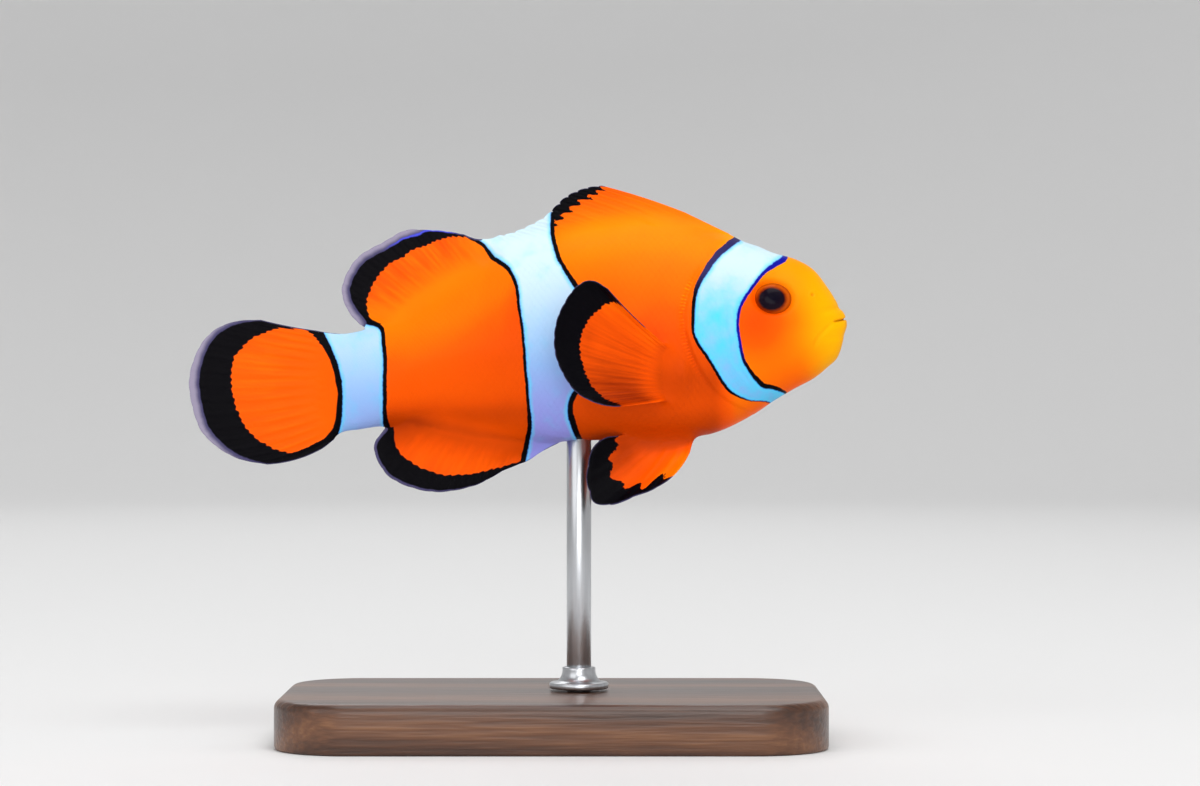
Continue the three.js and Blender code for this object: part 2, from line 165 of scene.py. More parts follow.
def inside(outline, x, z):
    """Whether each point is inside a closed outline, by the even-odd rule."""
    odd = np.zeros(x.shape, bool)
    for (x0, z0), (x1, z1) in zip(outline[:, :2], np.roll(outline[:, :2], -1, axis=0)):
        if z0 != z1:
            crosses = (z0 > z) != (z1 > z)
            odd ^= crosses & (x < x0 + (z - z0) * (x1 - x0) / (z1 - z0))
    return odd


def depth_in(outline, x, z):
    """Signed distance into a closed outline, and the third column at its nearest place."""
    closed = np.vstack([outline, outline[:1]])
    distance, extra, _ = nearest_on(closed, x, z)
    return np.where(inside(outline, x, z), distance, -distance), extra


def sway(x):
    return TAIL_SWAY * (np.maximum(0, -x) / SNOUT_X) ** 2


def ring_quads(rings, around, first=0):
    """The vertex numbers of a stack of closed rings, and the quads between the rings."""
    index = np.arange(rings * around).reshape(rings, around) + first
    after = np.roll(index, -1, axis=1)
    quads = np.stack([index[:-1], after[:-1], after[1:], index[1:]], -1).reshape(-1, 4)
    return index, [tuple(quad) for quad in quads.tolist()]


def left_normals(points, seam=False):
    """Unit normals of a grid of points, towards the left. Where its first and last columns
    are a seam on the mid-plane, theirs lie in that plane."""
    normal = np.cross(np.gradient(points, axis=0), np.gradient(points, axis=1))
    if seam:
        normal[:, [0, -1], 1] = 0
    normal /= np.maximum(np.linalg.norm(normal, axis=-1, keepdims=True), 1e-9)
    return -normal if normal[..., 1].mean() < 0 else normal


def fan(ring, centre):
    """A triangle from each step of a closed ring to a middle vertex."""
    return [(a, b, centre) for a, b in zip(ring, np.roll(ring, -1))]


# ------------------------------------------------------------------ the body's surface

AROUND = 100  # steps from the back to the belly, on each side
FINE_SECTIONS = 6000  # samples along the body, to measure its length on
FINE_AROUND = 720  # samples round half a section, to measure its girth on
SECTION_STEPS = [(0.0, 0.07), (0.8, 0.10), (2.0, 0.155), (15.0, 0.17), (22.0, 0.24),
                 (30.0, 0.31), (90.0, 0.31)]  # (run from the snout, spacing), mm
SCALE_CELLS = 24  # pairs of scale rows from back to belly
SCALE_ASPECT = 0.66  # a scale's length over its height


def section_sizes(x):
    """Half width, middle height and half height of the body's section at x."""
    place = np.sqrt(np.maximum(0, SNOUT_X - x)) / ROOT_STEP
    thin = np.clip((TAPER_X - x) / (TAPER_X - FLESH_END_X), 0, 1)
    half = (between(HALF_WIDTH, place) - SKIN_INSET) * np.cos(thin * np.pi / 2 * 0.99) ** 1.5
    top, bottom = between(BACK, place), between(BELLY, place)
    tall = np.maximum((top - bottom) / 2 - SKIN_INSET, LEAST_HALF) * (1 - 0.25 * thin**4)
    return np.maximum(half, LEAST_HALF), (top + bottom) / 2, tall


def roundness(x):
    """The exponents of a section's upper and lower half: the flesh narrows to a keel where
    it carries a fin."""
    keel = smooth_step(7.0, -4.0, x) * (1 - smooth_step(-13.0, -17.5, x))
    nape = smooth_step(26.0, 18.0, x)
    back = mix(mix(BACK_ROUNDNESS, NAPE_ROUNDNESS, nape), KEEL_ROUNDNESS[0], keel)
    return back, mix(BELLY_ROUNDNESS, KEEL_ROUNDNESS[1], keel)


def side_y(x, z):
    """How far the flank is from the mid-plane at a place seen from the side."""
    half, middle, tall = section_sizes(x)
    up = np.clip((z - middle) / tall, -1, 1)
    back, belly = roundness(x)
    power = np.where(up > 0, back, belly)
    return half * np.maximum(0, 1 - np.abs(up) ** power) ** (1 / power)


def body_sections():
    """x of the body's sections, and the run of its surface from the snout to each."""
    root = np.linspace(FIRST_ROOT, np.sqrt(SNOUT_X - FLESH_END_X), FINE_SECTIONS)
    x = SNOUT_X - root**2
    half, _, tall = section_sizes(x)
    step = np.hypot(np.diff(x), (np.abs(np.diff(half)) + np.abs(np.diff(tall))) / 2)
    run = np.concatenate([[0], np.cumsum(step)])
    at, spacing = np.array(SECTION_STEPS).T
    place = np.concatenate([[0], np.cumsum(step / np.interp(run[1:], at, spacing))])
    wanted = np.linspace(0, place[-1], int(place[-1]) + 1)
    return np.interp(wanted, place, x), np.interp(wanted, place, run)


def half_rings(x):
    """The left half of each section from back to belly, at equal steps of its length."""
    half, middle, tall = section_sizes(x)
    angle = np.linspace(np.pi / 2, -np.pi / 2, FINE_AROUND + 1)
    back, belly = roundness(x)
    power = np.where(angle > 0, 2 / back[:, None], 2 / belly[:, None])
    across = np.abs(np.cos(angle)) ** power
    across[:, [0, -1]] = 0
    up = np.sign(np.sin(angle)) * np.abs(np.sin(angle)) ** power
    y = half[:, None] * across
    z = middle[:, None] + tall[:, None] * up
    step = np.hypot(np.diff(y, axis=1), np.diff(z, axis=1))
    run = np.concatenate([np.zeros((len(x), 1)), np.cumsum(step, axis=1)], axis=1)
    share = np.linspace(0, 1, AROUND + 1)
    y, z = (np.stack([np.interp(share * r[-1], r, row) for r, row in zip(run, rows)])
            for rows in (y, z))
    return y, z, run[:, -1]


def eye_axes():
    """Columns: the left eye's own forward, outward and upward directions."""
    c, s = np.cos(EYE_TILT), np.sin(EYE_TILT)
    tilt = np.array([[1, 0, 0], [0, c, -s], [0, s, c]])
    c, s = np.cos(EYE_TURN), np.sin(EYE_TURN)
    turn = np.array([[c, s, 0], [-s, c, 0], [0, 0, 1]])
    return turn @ tilt


def eye_dome(rho):
    return EYE_RADII[1] * np.sqrt(np.maximum(0, 1 - np.minimum(rho, 1) ** EYE_BLUNTNESS))


MOUTH_Z = 51.35  # the slit's height on the mid-plane
MOUTH_HALF = 2.9
LIPS = [  # relief, height above the slit and width of the two lips and the folds beyond them
    (0.03, 0.55, 0.40), (0.10, -0.75, 0.60), (-0.15, 1.40, 0.36), (-0.05, -1.95, 0.35)]
JAW_LINE = [[38.3, 50.8], [37.2, 49.9], [36.2, 48.6], [35.7, 47.0]]
NOSTRIL = (35.7, 54.2)


def mouth_share(x, y, inside_by, beyond_by):
    """1 on the snout within the mouth's width, and fading to 0 past its corner."""
    across = 1 - smooth_step(MOUTH_HALF - inside_by, MOUTH_HALF + beyond_by, y)
    return across * smooth_step(35.4, 36.6, x)


def height_over_slit(y, z):
    return z - (MOUTH_Z - 0.45 * (y / MOUTH_HALF) ** 2)


def nostril_distance(x, z):
    return np.hypot(x - NOSTRIL[0], (z - NOSTRIL[1]) * 1.1)


def gill_distance(x, z):
    """Signed distance into the gill cover from its free edge, and the run along the edge."""
    line = smooth_curve(GILL_LINE, 12)
    distance, _, run = nearest_on(line, x, z)
    head = np.vstack([line, [[60, 36.5], [60, 64.5]]])
    return np.where(inside(head, x, z), distance, -distance), run


def head_relief(x, y, z):
    """How far details stand out of the plain body, along its normal, in mm."""
    above_slit = height_over_slit(y, z)
    out = -0.36 * bell(above_slit, 0.12) * mouth_share(x, y, 0.5, 0.05)
    for relief, height, width in LIPS:
        out += relief * bell(above_slit - height, width) * mouth_share(x, y, 0.1, 0.9)

    distance, _, run = nearest_on_curve(JAW_LINE, x, z)
    out -= 0.12 * bell(distance, 0.28) * smooth_step(0, 0.6, run) * (1 - smooth_step(3.4, 4.6, run))

    pit = nostril_distance(x, z)
    out += 0.05 * bell(pit - 0.36, 0.14) - 0.20 * bell(pit, 0.18)

    edge, run = gill_distance(x, z)
    whole = smooth_step(39.2, 40.6, z) * (1 - smooth_step(55.6, 58.6, z))
    whole = whole * mix(0.30, 1.0, smooth_step(41.5, 47.0, z))
    step = smooth_step(-0.12, 0.10, edge)
    out += whole * step * 0.26 * bell(np.maximum(edge, 0), 2.4)
    out -= whole * (1 - step) * 0.20 * bell(np.minimum(edge, 0), 0.55)
    out += whole * (edge > 0) * 0.05 * bell(edge - 0.25, 0.3)

    distance, _, run = nearest_on_curve(CHEEK_LINE, x, z)
    ends = smooth_step(0, 2.0, run) * (1 - smooth_step(10.5, 13.0, run))
    out -= 0.10 * bell(distance, 0.30) * ends
    out += 0.07 * bell(distance - 0.6, 0.5) * ends

    lobe = np.hypot((x - 19.3) / 2.2, (z - 44.2) / 3.6)
    out += 0.42 * (1 - smooth_step(0.25, 1.0, lobe))
    return out


def crease_shade(x, y, z):
    """Painted shade in the deep folds of the mouth's slit and the nostril's pit, 0 to 1."""
    dark = 0.30 + 0.35 * smooth_step(38.6, 39.8, x)
    slit = dark * bell(height_over_slit(y, z), 0.10) * mouth_share(x, y, 0.6, 0.1)
    return np.maximum(slit, 0.25 * bell(nostril_distance(x, z), 0.16))


def sink_socket(points):
    """Draws the skin round the left eye down to the eyeball, with a low rim round it."""
    axes = eye_axes()
    q = (points - EYE_CENTRE) @ axes
    rho = np.hypot(q[..., 0] / EYE_RADII[0], q[..., 2] / EYE_RADII[2])
    near = (rho < 1.8) & (q[..., 1] > -2)
    outward = mix(SOCKET_FLOOR, q[..., 1], smooth_step(*SOCKET, rho))
    outward += 0.05 * bell(rho - 1.16, 0.12)
    q[..., 1] = np.where(near, outward, q[..., 1])
    return EYE_CENTRE + q @ axes.T


def build_body():
    """The body's closed mesh and its attributes, every value one for each vertex."""
    x, run = body_sections()
    y, z, girth = half_rings(x)
    x = np.repeat(x[:, None], AROUND + 1, axis=1)
    points = np.stack([x, y, z], -1)
    normal = left_normals(points, seam=True)
    points = sink_socket(points + normal * head_relief(x, y, z)[..., None])
    points[:, [0, -1], 1] = 0

    share = np.broadcast_to(np.linspace(0, 1, AROUND + 1), x.shape)
    cell = girth / SCALE_CELLS * SCALE_ASPECT
    columns = np.concatenate([[0], np.cumsum(np.diff(run) / np.maximum(cell[1:], 0.2))])
    own = {
        "run": np.broadcast_to(run[:, None], x.shape),
        "girth": share * girth[:, None],
        "scale_s": np.broadcast_to(columns[:, None], x.shape),
        "scale_t": share * SCALE_CELLS,
        "crease": crease_shade(x, y, z),
    }

    left = np.arange(AROUND + 1)
    ring = np.concatenate([left, left[-2:0:-1]])
    side = np.concatenate([np.ones(AROUND + 1), -np.ones(AROUND - 1)])
    full = points[:, ring].copy()
    full[..., 1] *= side
    full[..., 1] += sway(full[..., 0])
    own = {name: values[:, ring].reshape(-1) for name, values in own.items()}

    index, quads = ring_quads(*full.shape[:2])
    full = full.reshape(-1, 3)
    faces = quads + [face[::-1] for face in fan(index[0], len(full))]
    faces += fan(index[-1], len(full) + 1)
    for ring_at in (index[0], index[-1]):
        full = np.vstack([full, full[ring_at].mean(0)])
        own = {name: np.append(values, values[ring_at].mean()) for name, values in own.items()}
    return full, faces, own


# ------------------------------------------------------------------ the fins

# base, margin: the lines where the rays start and end, from the first ray to the last.
# orange: the outline of the orange field; beyond it the fin is black.
# bow: how far the first and the last ray bow. steps: the sheet's grid, across and along rays.
# root, sheath: half the thickness of the flesh at the base, and how far it runs along rays.
# notch: how deep the edge is cut between rays. spiny: 1 for spines, 0 for soft rays.
# tooth, coarse: the size of the black margin's teeth; 1 for one at each ray, 0 for two.
# relief, streak: how far the rays stand out, and how strongly they are streaked.
# tone, blend: how light the orange is, and how far from the body it is reached.
# pale: the clear rim's least and greatest width. clear: the shares of the fin's width
# between which it widens, where it isn't widest in the middle.
# root_y, reach, cup, wave: where a paired fin starts and how it stands out from the body.
USUAL_FIN = dict(bow=(0, 0), spiny=0, sheath=3.2, blend=5.0)
FINS = {
    "dorsal_fin_front": dict(
        base=[[27.6, 61.0], [22.0, 60.9], [16.1, 60.6], [10.0, 60.2], [3.9, 58.8], [-1.8, 56.6]],
        margin=[[10.2, 67.6], [8.1, 67.3], [5.7, 66.2], [3.4, 64.0], [1.6, 62.9], [-1.4, 61.7],
                [-5.2, 61.3]],
        bow=(-0.55, 0), spiny=1, rays=13, steps=(130, 14), root=1.7, notch=0.29, tooth=0.36,
        coarse=0.9, relief=0.45, streak=0.7, tone=0.57, pale=(0.06, 0.06), sheath=4.2,
        orange=[[10.6, 75], [10.3, 67.0], [8.9, 66.3], [7.6, 65.6], [6.3, 64.7], [5.4, 63.9],
                [4.7, 63.0], [4.0, 62.4], [4.0, 75], [-12, 75], [-12, 45], [35, 45], [35, 75]]),
    "dorsal_fin_rear": dict(
        base=[[-1.4, 56.8], [-5.3, 55.0], [-8.8, 53.0], [-12.0, 50.8], [-15.6, 48.9]],
        margin=[[-4.6, 61.3], [-8.6, 62.0], [-11.3, 62.2], [-13.8, 62.15], [-16.3, 60.8],
                [-19.6, 58.8], [-21.4, 55.6], [-21.1, 53.0], [-19.4, 50.5]],
        rays=15, steps=(120, 15), root=1.25, notch=0.07, tooth=0.08, coarse=0.15,
        relief=0.75, streak=1.7, tone=0.49, pale=(0.14, 1.0), clear=(0.24, 0.38), sheath=4.6,
        orange=[[5, 61.0], [-3.6, 61.0], [-5.0, 60.8], [-6.4, 61.25], [-7.6, 61.35],
                [-8.8, 61.2], [-10.0, 60.85], [-11.0, 60.4], [-13.0, 59.7], [-14.0, 58.9],
                [-15.7, 58.1], [-16.8, 56.9], [-17.8, 55.4], [-18.3, 54.1], [-18.5, 53.1],
                [-18.3, 52.0], [-17.8, 51.2], [-17.1, 50.85], [-16.0, 50.5], [-15.9, 49.9],
                [-16.2, 45], [5, 45]]),
    "anal_fin": dict(
        base=[[5.8, 37.6], [2.0, 37.6], [-3.5, 38.0], [-9.6, 39.4], [-14.8, 40.2]],
        margin=[[5.2, 36.2], [2.8, 35.0], [0.9, 33.9], [-1.6, 32.9], [-5.3, 31.0],
                [-9.6, 30.2], [-13.2, 30.8], [-16.0, 32.3], [-17.5, 34.9], [-17.35, 36.6],
                [-16.2, 38.0]],
        rays=13, steps=(104, 14), root=1.20, notch=0.07, tooth=0.07, coarse=0.15,
        relief=0.7, streak=0.9, tone=0.45, pale=(0.06, 0.36), clear=(0.30, 0.75), sheath=3.8,
        orange=[[-15.2, 45], [-15.2, 38.4], [-15.1, 36.2], [-14.0, 34.5], [-11.9, 33.2],
                [-9.1, 32.2], [-5.9, 32.4], [-2.2, 33.2], [0.6, 34.1], [3, 34.5], [5, 45]]),
    "tail_fin": dict(
        base=[[-21.6, 49.6], [-21.6, 37.1]],
        margin=[[-31.3, 51.2], [-34.4, 51.0], [-37.1, 49.8], [-39.0, 47.3], [-39.95, 43.4],
                [-38.9, 38.5], [-36.9, 36.0], [-34.0, 34.3], [-30.5, 33.6]],
        bow=(0.22, 0.8), rays=15, steps=(150, 26), root=0.55, notch=0.06, tooth=0.09, coarse=0.2,
        relief=0.65, streak=0.8, tone=0.51, pale=(0.10, 1.25),
        orange=[[-29.3, 50.2], [-32.3, 49.0], [-33.4, 47.9], [-34.5, 46.8], [-34.9, 44.6],
                [-34.7, 42.4], [-34.2, 40.3], [-33.4, 38.4], [-31.8, 36.7], [-29.6, 35.4],
                [-27.7, 35.0], [-26.0, 35.4], [-23.6, 36.7], [-22.5, 38.1], [-22.1, 40.0],
                [-21.9, 42.2], [-22.2, 44.1], [-22.9, 46.3], [-23.8, 47.9], [-24.9, 49.3],
                [-26.0, 50.0]]),
    "pectoral_fin": dict(
        base=[[19.3, 46.9], [18.5, 41.4]],
        margin=[[10.9, 54.6], [8.9, 55.6], [6.9, 54.6], [5.0, 51.4], [4.5, 48.2], [5.1, 45.5],
                [6.9, 42.6], [9.2, 41.2], [11.4, 40.7], [13.4, 40.8]],
        bow=(0.3, 0), rays=17, steps=(136, 22), root=0.50, notch=0.07, tooth=0.10, coarse=0.3,
        relief=0.8, streak=0.85, tone=0.31, pale=(0.03, 0.08),
        root_y=5.9, reach=(7.6, 4.6), cup=0.85, wave=0.5, blend=3.5,
        orange=[[25, 39.5], [25, 52], [17.0, 50.5], [15.5, 50.0], [12.7, 52.5], [11.6, 53.1],
                [11.0, 52.9], [10.4, 52.8], [10.0, 52.3], [9.3, 51.7], [8.4, 50.6], [7.8, 49.4],
                [7.6, 48.2], [7.7, 46.5], [8.2, 44.8], [9.0, 43.1], [10.0, 42.1], [10.7, 41.5],
                [11.7, 41.2], [12.4, 40.9], [12.6, 39.5]]),
    "pelvic_fin": dict(
        base=[[21.6, 37.7], [15.6, 37.6]],
        margin=[[18.1, 31.7], [16.3, 30.6], [14.4, 29.9], [12.8, 29.2], [10.9, 28.7],
                [9.0, 29.3], [8.3, 32.1], [8.7, 34.7], [9.6, 36.3], [10.9, 37.0]],
        bow=(0.7, 0), spiny=0.4, rays=6, steps=(60, 14), root=0.55, notch=0.20, tooth=0.28,
        coarse=1, relief=0.9, streak=0.8, tone=0.42, pale=(0.05, 0.08),
        root_y=1.5, reach=(3.4, 2.2), cup=1.0, wave=0.25, blend=3.0,
        orange=[[12.2, 40], [12.0, 36.4], [11.8, 35.4], [11.3, 34.3], [11.2, 33.4], [11.3, 32.5],
                [12.0, 31.6], [12.9, 31.0], [14.8, 31.2], [15.3, 30.6], [16.3, 31.6],
                [17.2, 32.2], [17.9, 32.3], [18.5, 31.9], [25, 33], [25, 40]]),
}
FINS = {name: {**USUAL_FIN, **shape} for name, shape in FINS.items()}
MEMBRANE = (0.15, 0.07)  # half thickness at a fin's root and at its edge
RAY_RELIEF = (0.10, 0.045)
EDGE_ROUND = 0.15
WAVES = 1.25  # a paired fin's sheet swings out and in so many times over its width
ROOT_DEPTH = 0.45  # a paired fin's root lies this far under the skin


def fin_middle(shape, u, v):
    """The fin's middle sheet, for the left side where it is one of a pair."""
    start = along_curve(shape["base"], u[:, None])
    tip = along_curve(shape["margin"], u[:, None])
    start, tip = start.reshape(-1, 2)[:, None], tip.reshape(-1, 2)[:, None]
    ray = tip - start
    length = np.linalg.norm(ray, axis=-1)
    across = u[:, None]
    at_ray = np.abs(np.cos(np.pi * shape["rays"] * across)) ** mix(0.8, 0.45, shape["spiny"])
    short = 1 - shape["notch"] * (1 - at_ray) / length
    reach = v[None, :] * short
    aside = np.stack([-ray[..., 1], ray[..., 0]], -1) / length[..., None]
    bend = mix(shape["bow"][0], shape["bow"][1], across) * 4 * reach * (1 - reach)
    flat = start + ray * reach[..., None] + aside * bend[..., None]
    x, z = flat[..., 0], flat[..., 1]
    if "reach" in shape:
        wide = mix(shape["reach"][0], shape["reach"][1], across)
        y = shape["root_y"] + wide * reach ** shape["cup"]
        y = y + shape["wave"] * np.sin(WAVES * 2 * np.pi * across) * reach**2
        on_body = side_y(x, z) - ROOT_DEPTH
        held = 1 - smooth_step(0.0, 0.22, reach)
        y = mix(y, np.minimum(on_body, y), held)
    else:
        y = sway(x)
    return np.stack([x, y, z], -1), length, reach


def fin_tone(shape, u, reach):
    """How a fin's orange changes over it: a paired fin is lighter along its leading edge, and
    darker towards its trailing edge away from the root, which is painted shade.
    """
    if "reach" in shape:
        band = 0.20 * (1 - smooth_step(0.10, 0.30, u)) + 0.36 * bell(1 - u, 0.04)
        # Painted shade: darker towards the trailing edge, away from the root.
        band = band - 0.30 * smooth_step(0.35, 0.80, u) * smooth_step(0.10, 0.50, reach)
        band = band - 0.12 * bell(reach - 0.74, 0.07) * bell(u - 0.36, 0.12)
        return band + 0.06 * smooth_step(0.5, 0.8, reach)
    return -0.05 * smooth_step(0.5, 0.9, reach)


def clear_share(shape, u):
    """How wide the clear rim is across a fin, from 0 to 1: widest in the middle, or grown
    over the stretch that "clear" gives and held nearly to the rear end."""
    if "clear" in shape:
        return smooth_step(*shape["clear"], u) * (1 - 0.3 * smooth_step(0.93, 1.0, u))
    return np.sin(np.pi * u) ** 1.5


def closed_sheet(rows, columns):
    """The quads of two grids of vertices, back to back and joined round their rims."""
    k = np.arange(rows * columns).reshape(rows, columns)
    front = np.stack([k[:-1, :-1], k[1:, :-1], k[1:, 1:], k[:-1, 1:]], -1).reshape(-1, 4)
    loop = np.concatenate([k[0, :-1], k[:-1, -1], k[-1, :0:-1], k[:0:-1, 0]])
    after = np.roll(loop, -1)
    band = np.stack([loop, after, after + k.size, loop + k.size], -1)
    return [tuple(quad) for quad in np.vstack([front, front[:, ::-1] + k.size, band]).tolist()]


def build_fin(shape, side):
    """A fin as a closed sheet with rays, and its attributes. Side is 1 for left, -1 for right."""
    steps_u, steps_v = shape["steps"]
    u = np.linspace(0, 1, steps_u + 1)
    u = np.sort(np.append(u, [0.3 * u[1], 1 - 0.3 * u[1]]))
    v = np.linspace(0, 1, steps_v + 1)
    v = np.sort(np.append(v, [1 - 0.35 * v[1], 1 - 0.10 * v[1]]))
    middle, length, reach = fin_middle(shape, u, v)
    normal = left_normals(middle)
    flat = middle[..., [0, 2]]
    x, z = flat[..., 0], flat[..., 1]

    rim, _, _ = nearest_on(np.vstack([flat[0], flat[:, -1], flat[-1, ::-1]]), x, z)
    edge = nearest_on(flat[:, -1], x, z)[0] if "clear" in shape else rim
    count = shape["rays"] * u[:, None] * np.ones_like(x)
    stem = np.cos(np.pi * count) ** 2
    fork = 0.75 * np.sin(2 * np.pi * count) ** 2 + 0.25 * stem
    ridge = mix(stem, fork, smooth_step(0.35, 0.65, reach) * (1 - shape["spiny"]))
    ridge = mix(ridge, stem**3, shape["spiny"])
    stands = mix(RAY_RELIEF[0], RAY_RELIEF[1], reach) * shape["relief"]
    half = mix(MEMBRANE[0], MEMBRANE[1], reach) + stands * ridge
    sheath = shape["root"] * bell(reach * length, shape["sheath"]) * smooth_step(0.0, 2.4, rim)
    half = np.hypot(half, sheath) * np.sqrt(np.clip(rim / EDGE_ROUND, 0.05, 1))

    own = {
        "ray": count,
        "reach": reach,
        "own_tone": shape["tone"] + fin_tone(shape, u[:, None], reach),
        "pale": edge - mix(*shape["pale"], clear_share(shape, u[:, None])),
    }
    sheets = np.stack([middle + normal * half[..., None], middle - normal * half[..., None]])
    sheets[..., 1] *= side
    own = {name: np.tile(values.reshape(-1), 2) for name, values in own.items()}
    return sheets.reshape(-1, 3), closed_sheet(*x.shape), own


# ------------------------------------------------------------------ the markings

# Each edge runs from top to bottom: x, z and the width of the black line beyond it.
HEAD_BAR_FRONT = [[32.6, 60.5, 0.65], [32.2, 58.9, 0.65], [31.0, 58.1, 0.55], [29.5, 56.8, 0.4],
                  [27.9, 54.8, 0.35], [26.8, 52.9, 0.33], [26.4, 50.8, 0.33], [26.5, 49.1, 0.33],
                  [26.9, 47.0, 0.35], [27.7, 45.1, 0.42], [29.4, 43.1, 0.55], [30.7, 42.8, 0.5],
                  [32.3, 42.3, 0.3], [33.0, 41.6, 0.3]]
HEAD_BAR_REAR = [[30.0, 63.5, 0.8], [27.3, 61.1, 0.8], [24.3, 58.6, 0.75], [21.9, 55.0, 0.5],
                 [21.3, 51.6, 0.38], [21.5, 49.0, 0.33], [23.5, 45.9, 0.33], [25.5, 42.8, 0.33],
                 [27.9, 41.5, 0.12], [30.2, 41.3, 0.10], [30.9, 40.9, 0.10], [31.5, 40.0, 0.10]]
MID_BAR_FRONT = [[4.2, 70, 0.5], [4.1, 65.3, 0.5], [3.95, 63.7, 0.5], [3.95, 61.6, 0.5],
                 [4.4, 59.6, 0.5], [5.1, 57.9, 0.5], [6.7, 55.3, 0.55], [8.4, 52.9, 0.6],
                 [10.1, 49.4, 0.6], [9.5, 46.6, 0.6], [6.7, 42.4, 0.6], [6.1, 40.6, 0.65],
                 [6.3, 38.8, 0.7], [7.2, 36.5, 0.65], [7.6, 35, 0.6]]
MID_BAR_REAR = [[-6.9, 62.3, 0.45], [-5.7, 61.45, 0.45], [-4.9, 61.0, 0.42],
                [-4.1, 60.45, 0.42], [-3.5, 59.65, 0.45], [-3.0, 59.0, 0.5], [-2.1, 58.4, 0.5],
                [-1.2, 57.75, 0.47], [-0.65, 56.95, 0.44], [-0.2, 56.0, 0.42],
                [0.1, 55.0, 0.4], [0.3, 53.0, 0.36], [0.8, 49.6, 0.33], [1.4, 41.8, 0.38],
                [1.7, 38.8, 0.5], [1.5, 36.8, 0.6], [0.9, 34.1, 0.6], [0.7, 32, 0.6]]
TAIL_BAR_FRONT = [[-22.5, 51.3, 0.05], [-20.2, 51.25, 0.05], [-19.2, 51.0, 0.25],
                  [-18.3, 50.6, 0.5], [-17.4, 50.35, 0.5], [-16.85, 49.95, 0.55],
                  [-16.6, 49.2, 0.5], [-16.4, 47.4, 0.5], [-16.3, 44.9, 0.5],
                  [-16.4, 40.0, 0.5], [-16.4, 38.4, 0.75], [-16.4, 36.5, 0.75],
                  [-16.4, 34.5, 0.5]]
TAIL_BAR_REAR = [[-25.0, 52.6, 0.5], [-24.2, 51.0, 0.5], [-23.6, 49.5, 0.5], [-22.8, 47.9, 0.5],
                 [-21.9, 45.7, 0.5], [-21.4, 43.5, 0.5], [-21.3, 41.1, 0.5], [-21.5, 38.9, 0.5],
                 [-21.9, 37.1, 0.5], [-21.9, 35.5, 0.5], [-22.0, 34.0, 0.5]]
HEAD_BAR = (HEAD_BAR_FRONT, HEAD_BAR_REAR)
MID_BAR = (MID_BAR_FRONT, MID_BAR_REAR)
TAIL_BAR = (TAIL_BAR_FRONT, TAIL_BAR_REAR)
FIN_BARS = {"dorsal_fin_front": [HEAD_BAR, MID_BAR], "dorsal_fin_rear": [MID_BAR, TAIL_BAR],
            "anal_fin": [MID_BAR], "tail_fin": [TAIL_BAR], "pectoral_fin": [], "pelvic_fin": []}


def bar_depth(x, z, bars):
    """Signed distance into the nearest of some white bars, and the black line's width there."""
    white, line = np.full(x.shape, -NOT_HERE), np.zeros(x.shape)
    for front, rear in bars:
        outline = np.vstack([smooth_curve(front, 6), smooth_curve(rear, 6)[::-1]])
        depth, width = depth_in(outline, x, z)
        line = np.where(depth > white, width, line)
        white = np.maximum(white, depth)
    return white, line


NEAR_LINE = 1.3  # mm from a bar's edge within which its line has a tint of its own
ROUND_GAP = 0.4  # mm from a fin's base within which a bar's line goes round the bar's end


def height_share(x, z):
    """How far up the body's section a place is: 0 at the belly and 1 at the back."""
    _, middle, tall = section_sizes(x)
    return np.clip((z - middle + tall) / (2 * tall), -0.3, 1.3)


def body_tone(x, z, up, chest_shadow_share):
    """How light the body's orange is, from 0 to 1. It is deep below and lightest on the back, which
    is partly the fish's own colour and partly painted shade of light from above. It is deeper on
    the chest behind the gill cover, which is painted shadow by the gill opening and the pectoral
    fin's root, deeper under the eye, and lightest on the snout."""
    # Deep low on the flank and lightest on the back: partly the fish's own colour and partly
    # painted shade of light from above.
    shadow = mix(0.28, 0.46, smooth_step(0.0, 6.0, x))
    flank = mix(0.14, 0.56, smooth_step(-0.04, shadow, up))
    flank += mix(0.07, 0.20, smooth_step(-5.0, 9.0, x)) * smooth_step(0.60, 1.0, up)

    # Behind the mid bar the flank is darker below a level and lighter above it: partly the fish's
    # own colour and partly painted shade of light from above.
    near_bar = smooth_step(-9.0, 0.0, x)
    level = 46.5 + 4.5 * smooth_step(-13.0, -2.0, x) + 4.0 * smooth_step(-2.5, 0.5, x)
    high = smooth_step(-3.5, 3.5, z - level)
    behind = mix(-0.13 - 0.10 * near_bar, 0.06 - 0.06 * near_bar, high)
    flank += behind * smooth_step(37.5, 40.5, z) * smooth_step(7.0, 3.0, x)
    # Painted shadow on the chest, by the gill opening and the pectoral fin's root.
    chest_shadow = smooth_step(12.5, 17.5, x) * smooth_step(54.5, 47.5, z) * smooth_step(40.0, 44.5, z)
    flank -= 0.26 * chest_shadow * chest_shadow_share

    # The face is also lighter upwards, partly its own colour and partly painted light from above.
    face = mix(0.56, 0.88, smooth_step(-0.05, 0.45, up))
    face = mix(face, 0.98, smooth_step(33.5, 38.5, x))
    face -= 0.56 * bell(np.hypot(x - 28.8, z - 50.8), 4.5)
    tone = mix(flank, face, smooth_step(23.5, 27.0, x))
    return mix(tone, FINS["tail_fin"]["tone"], smooth_step(-18.5, -21.0, x))


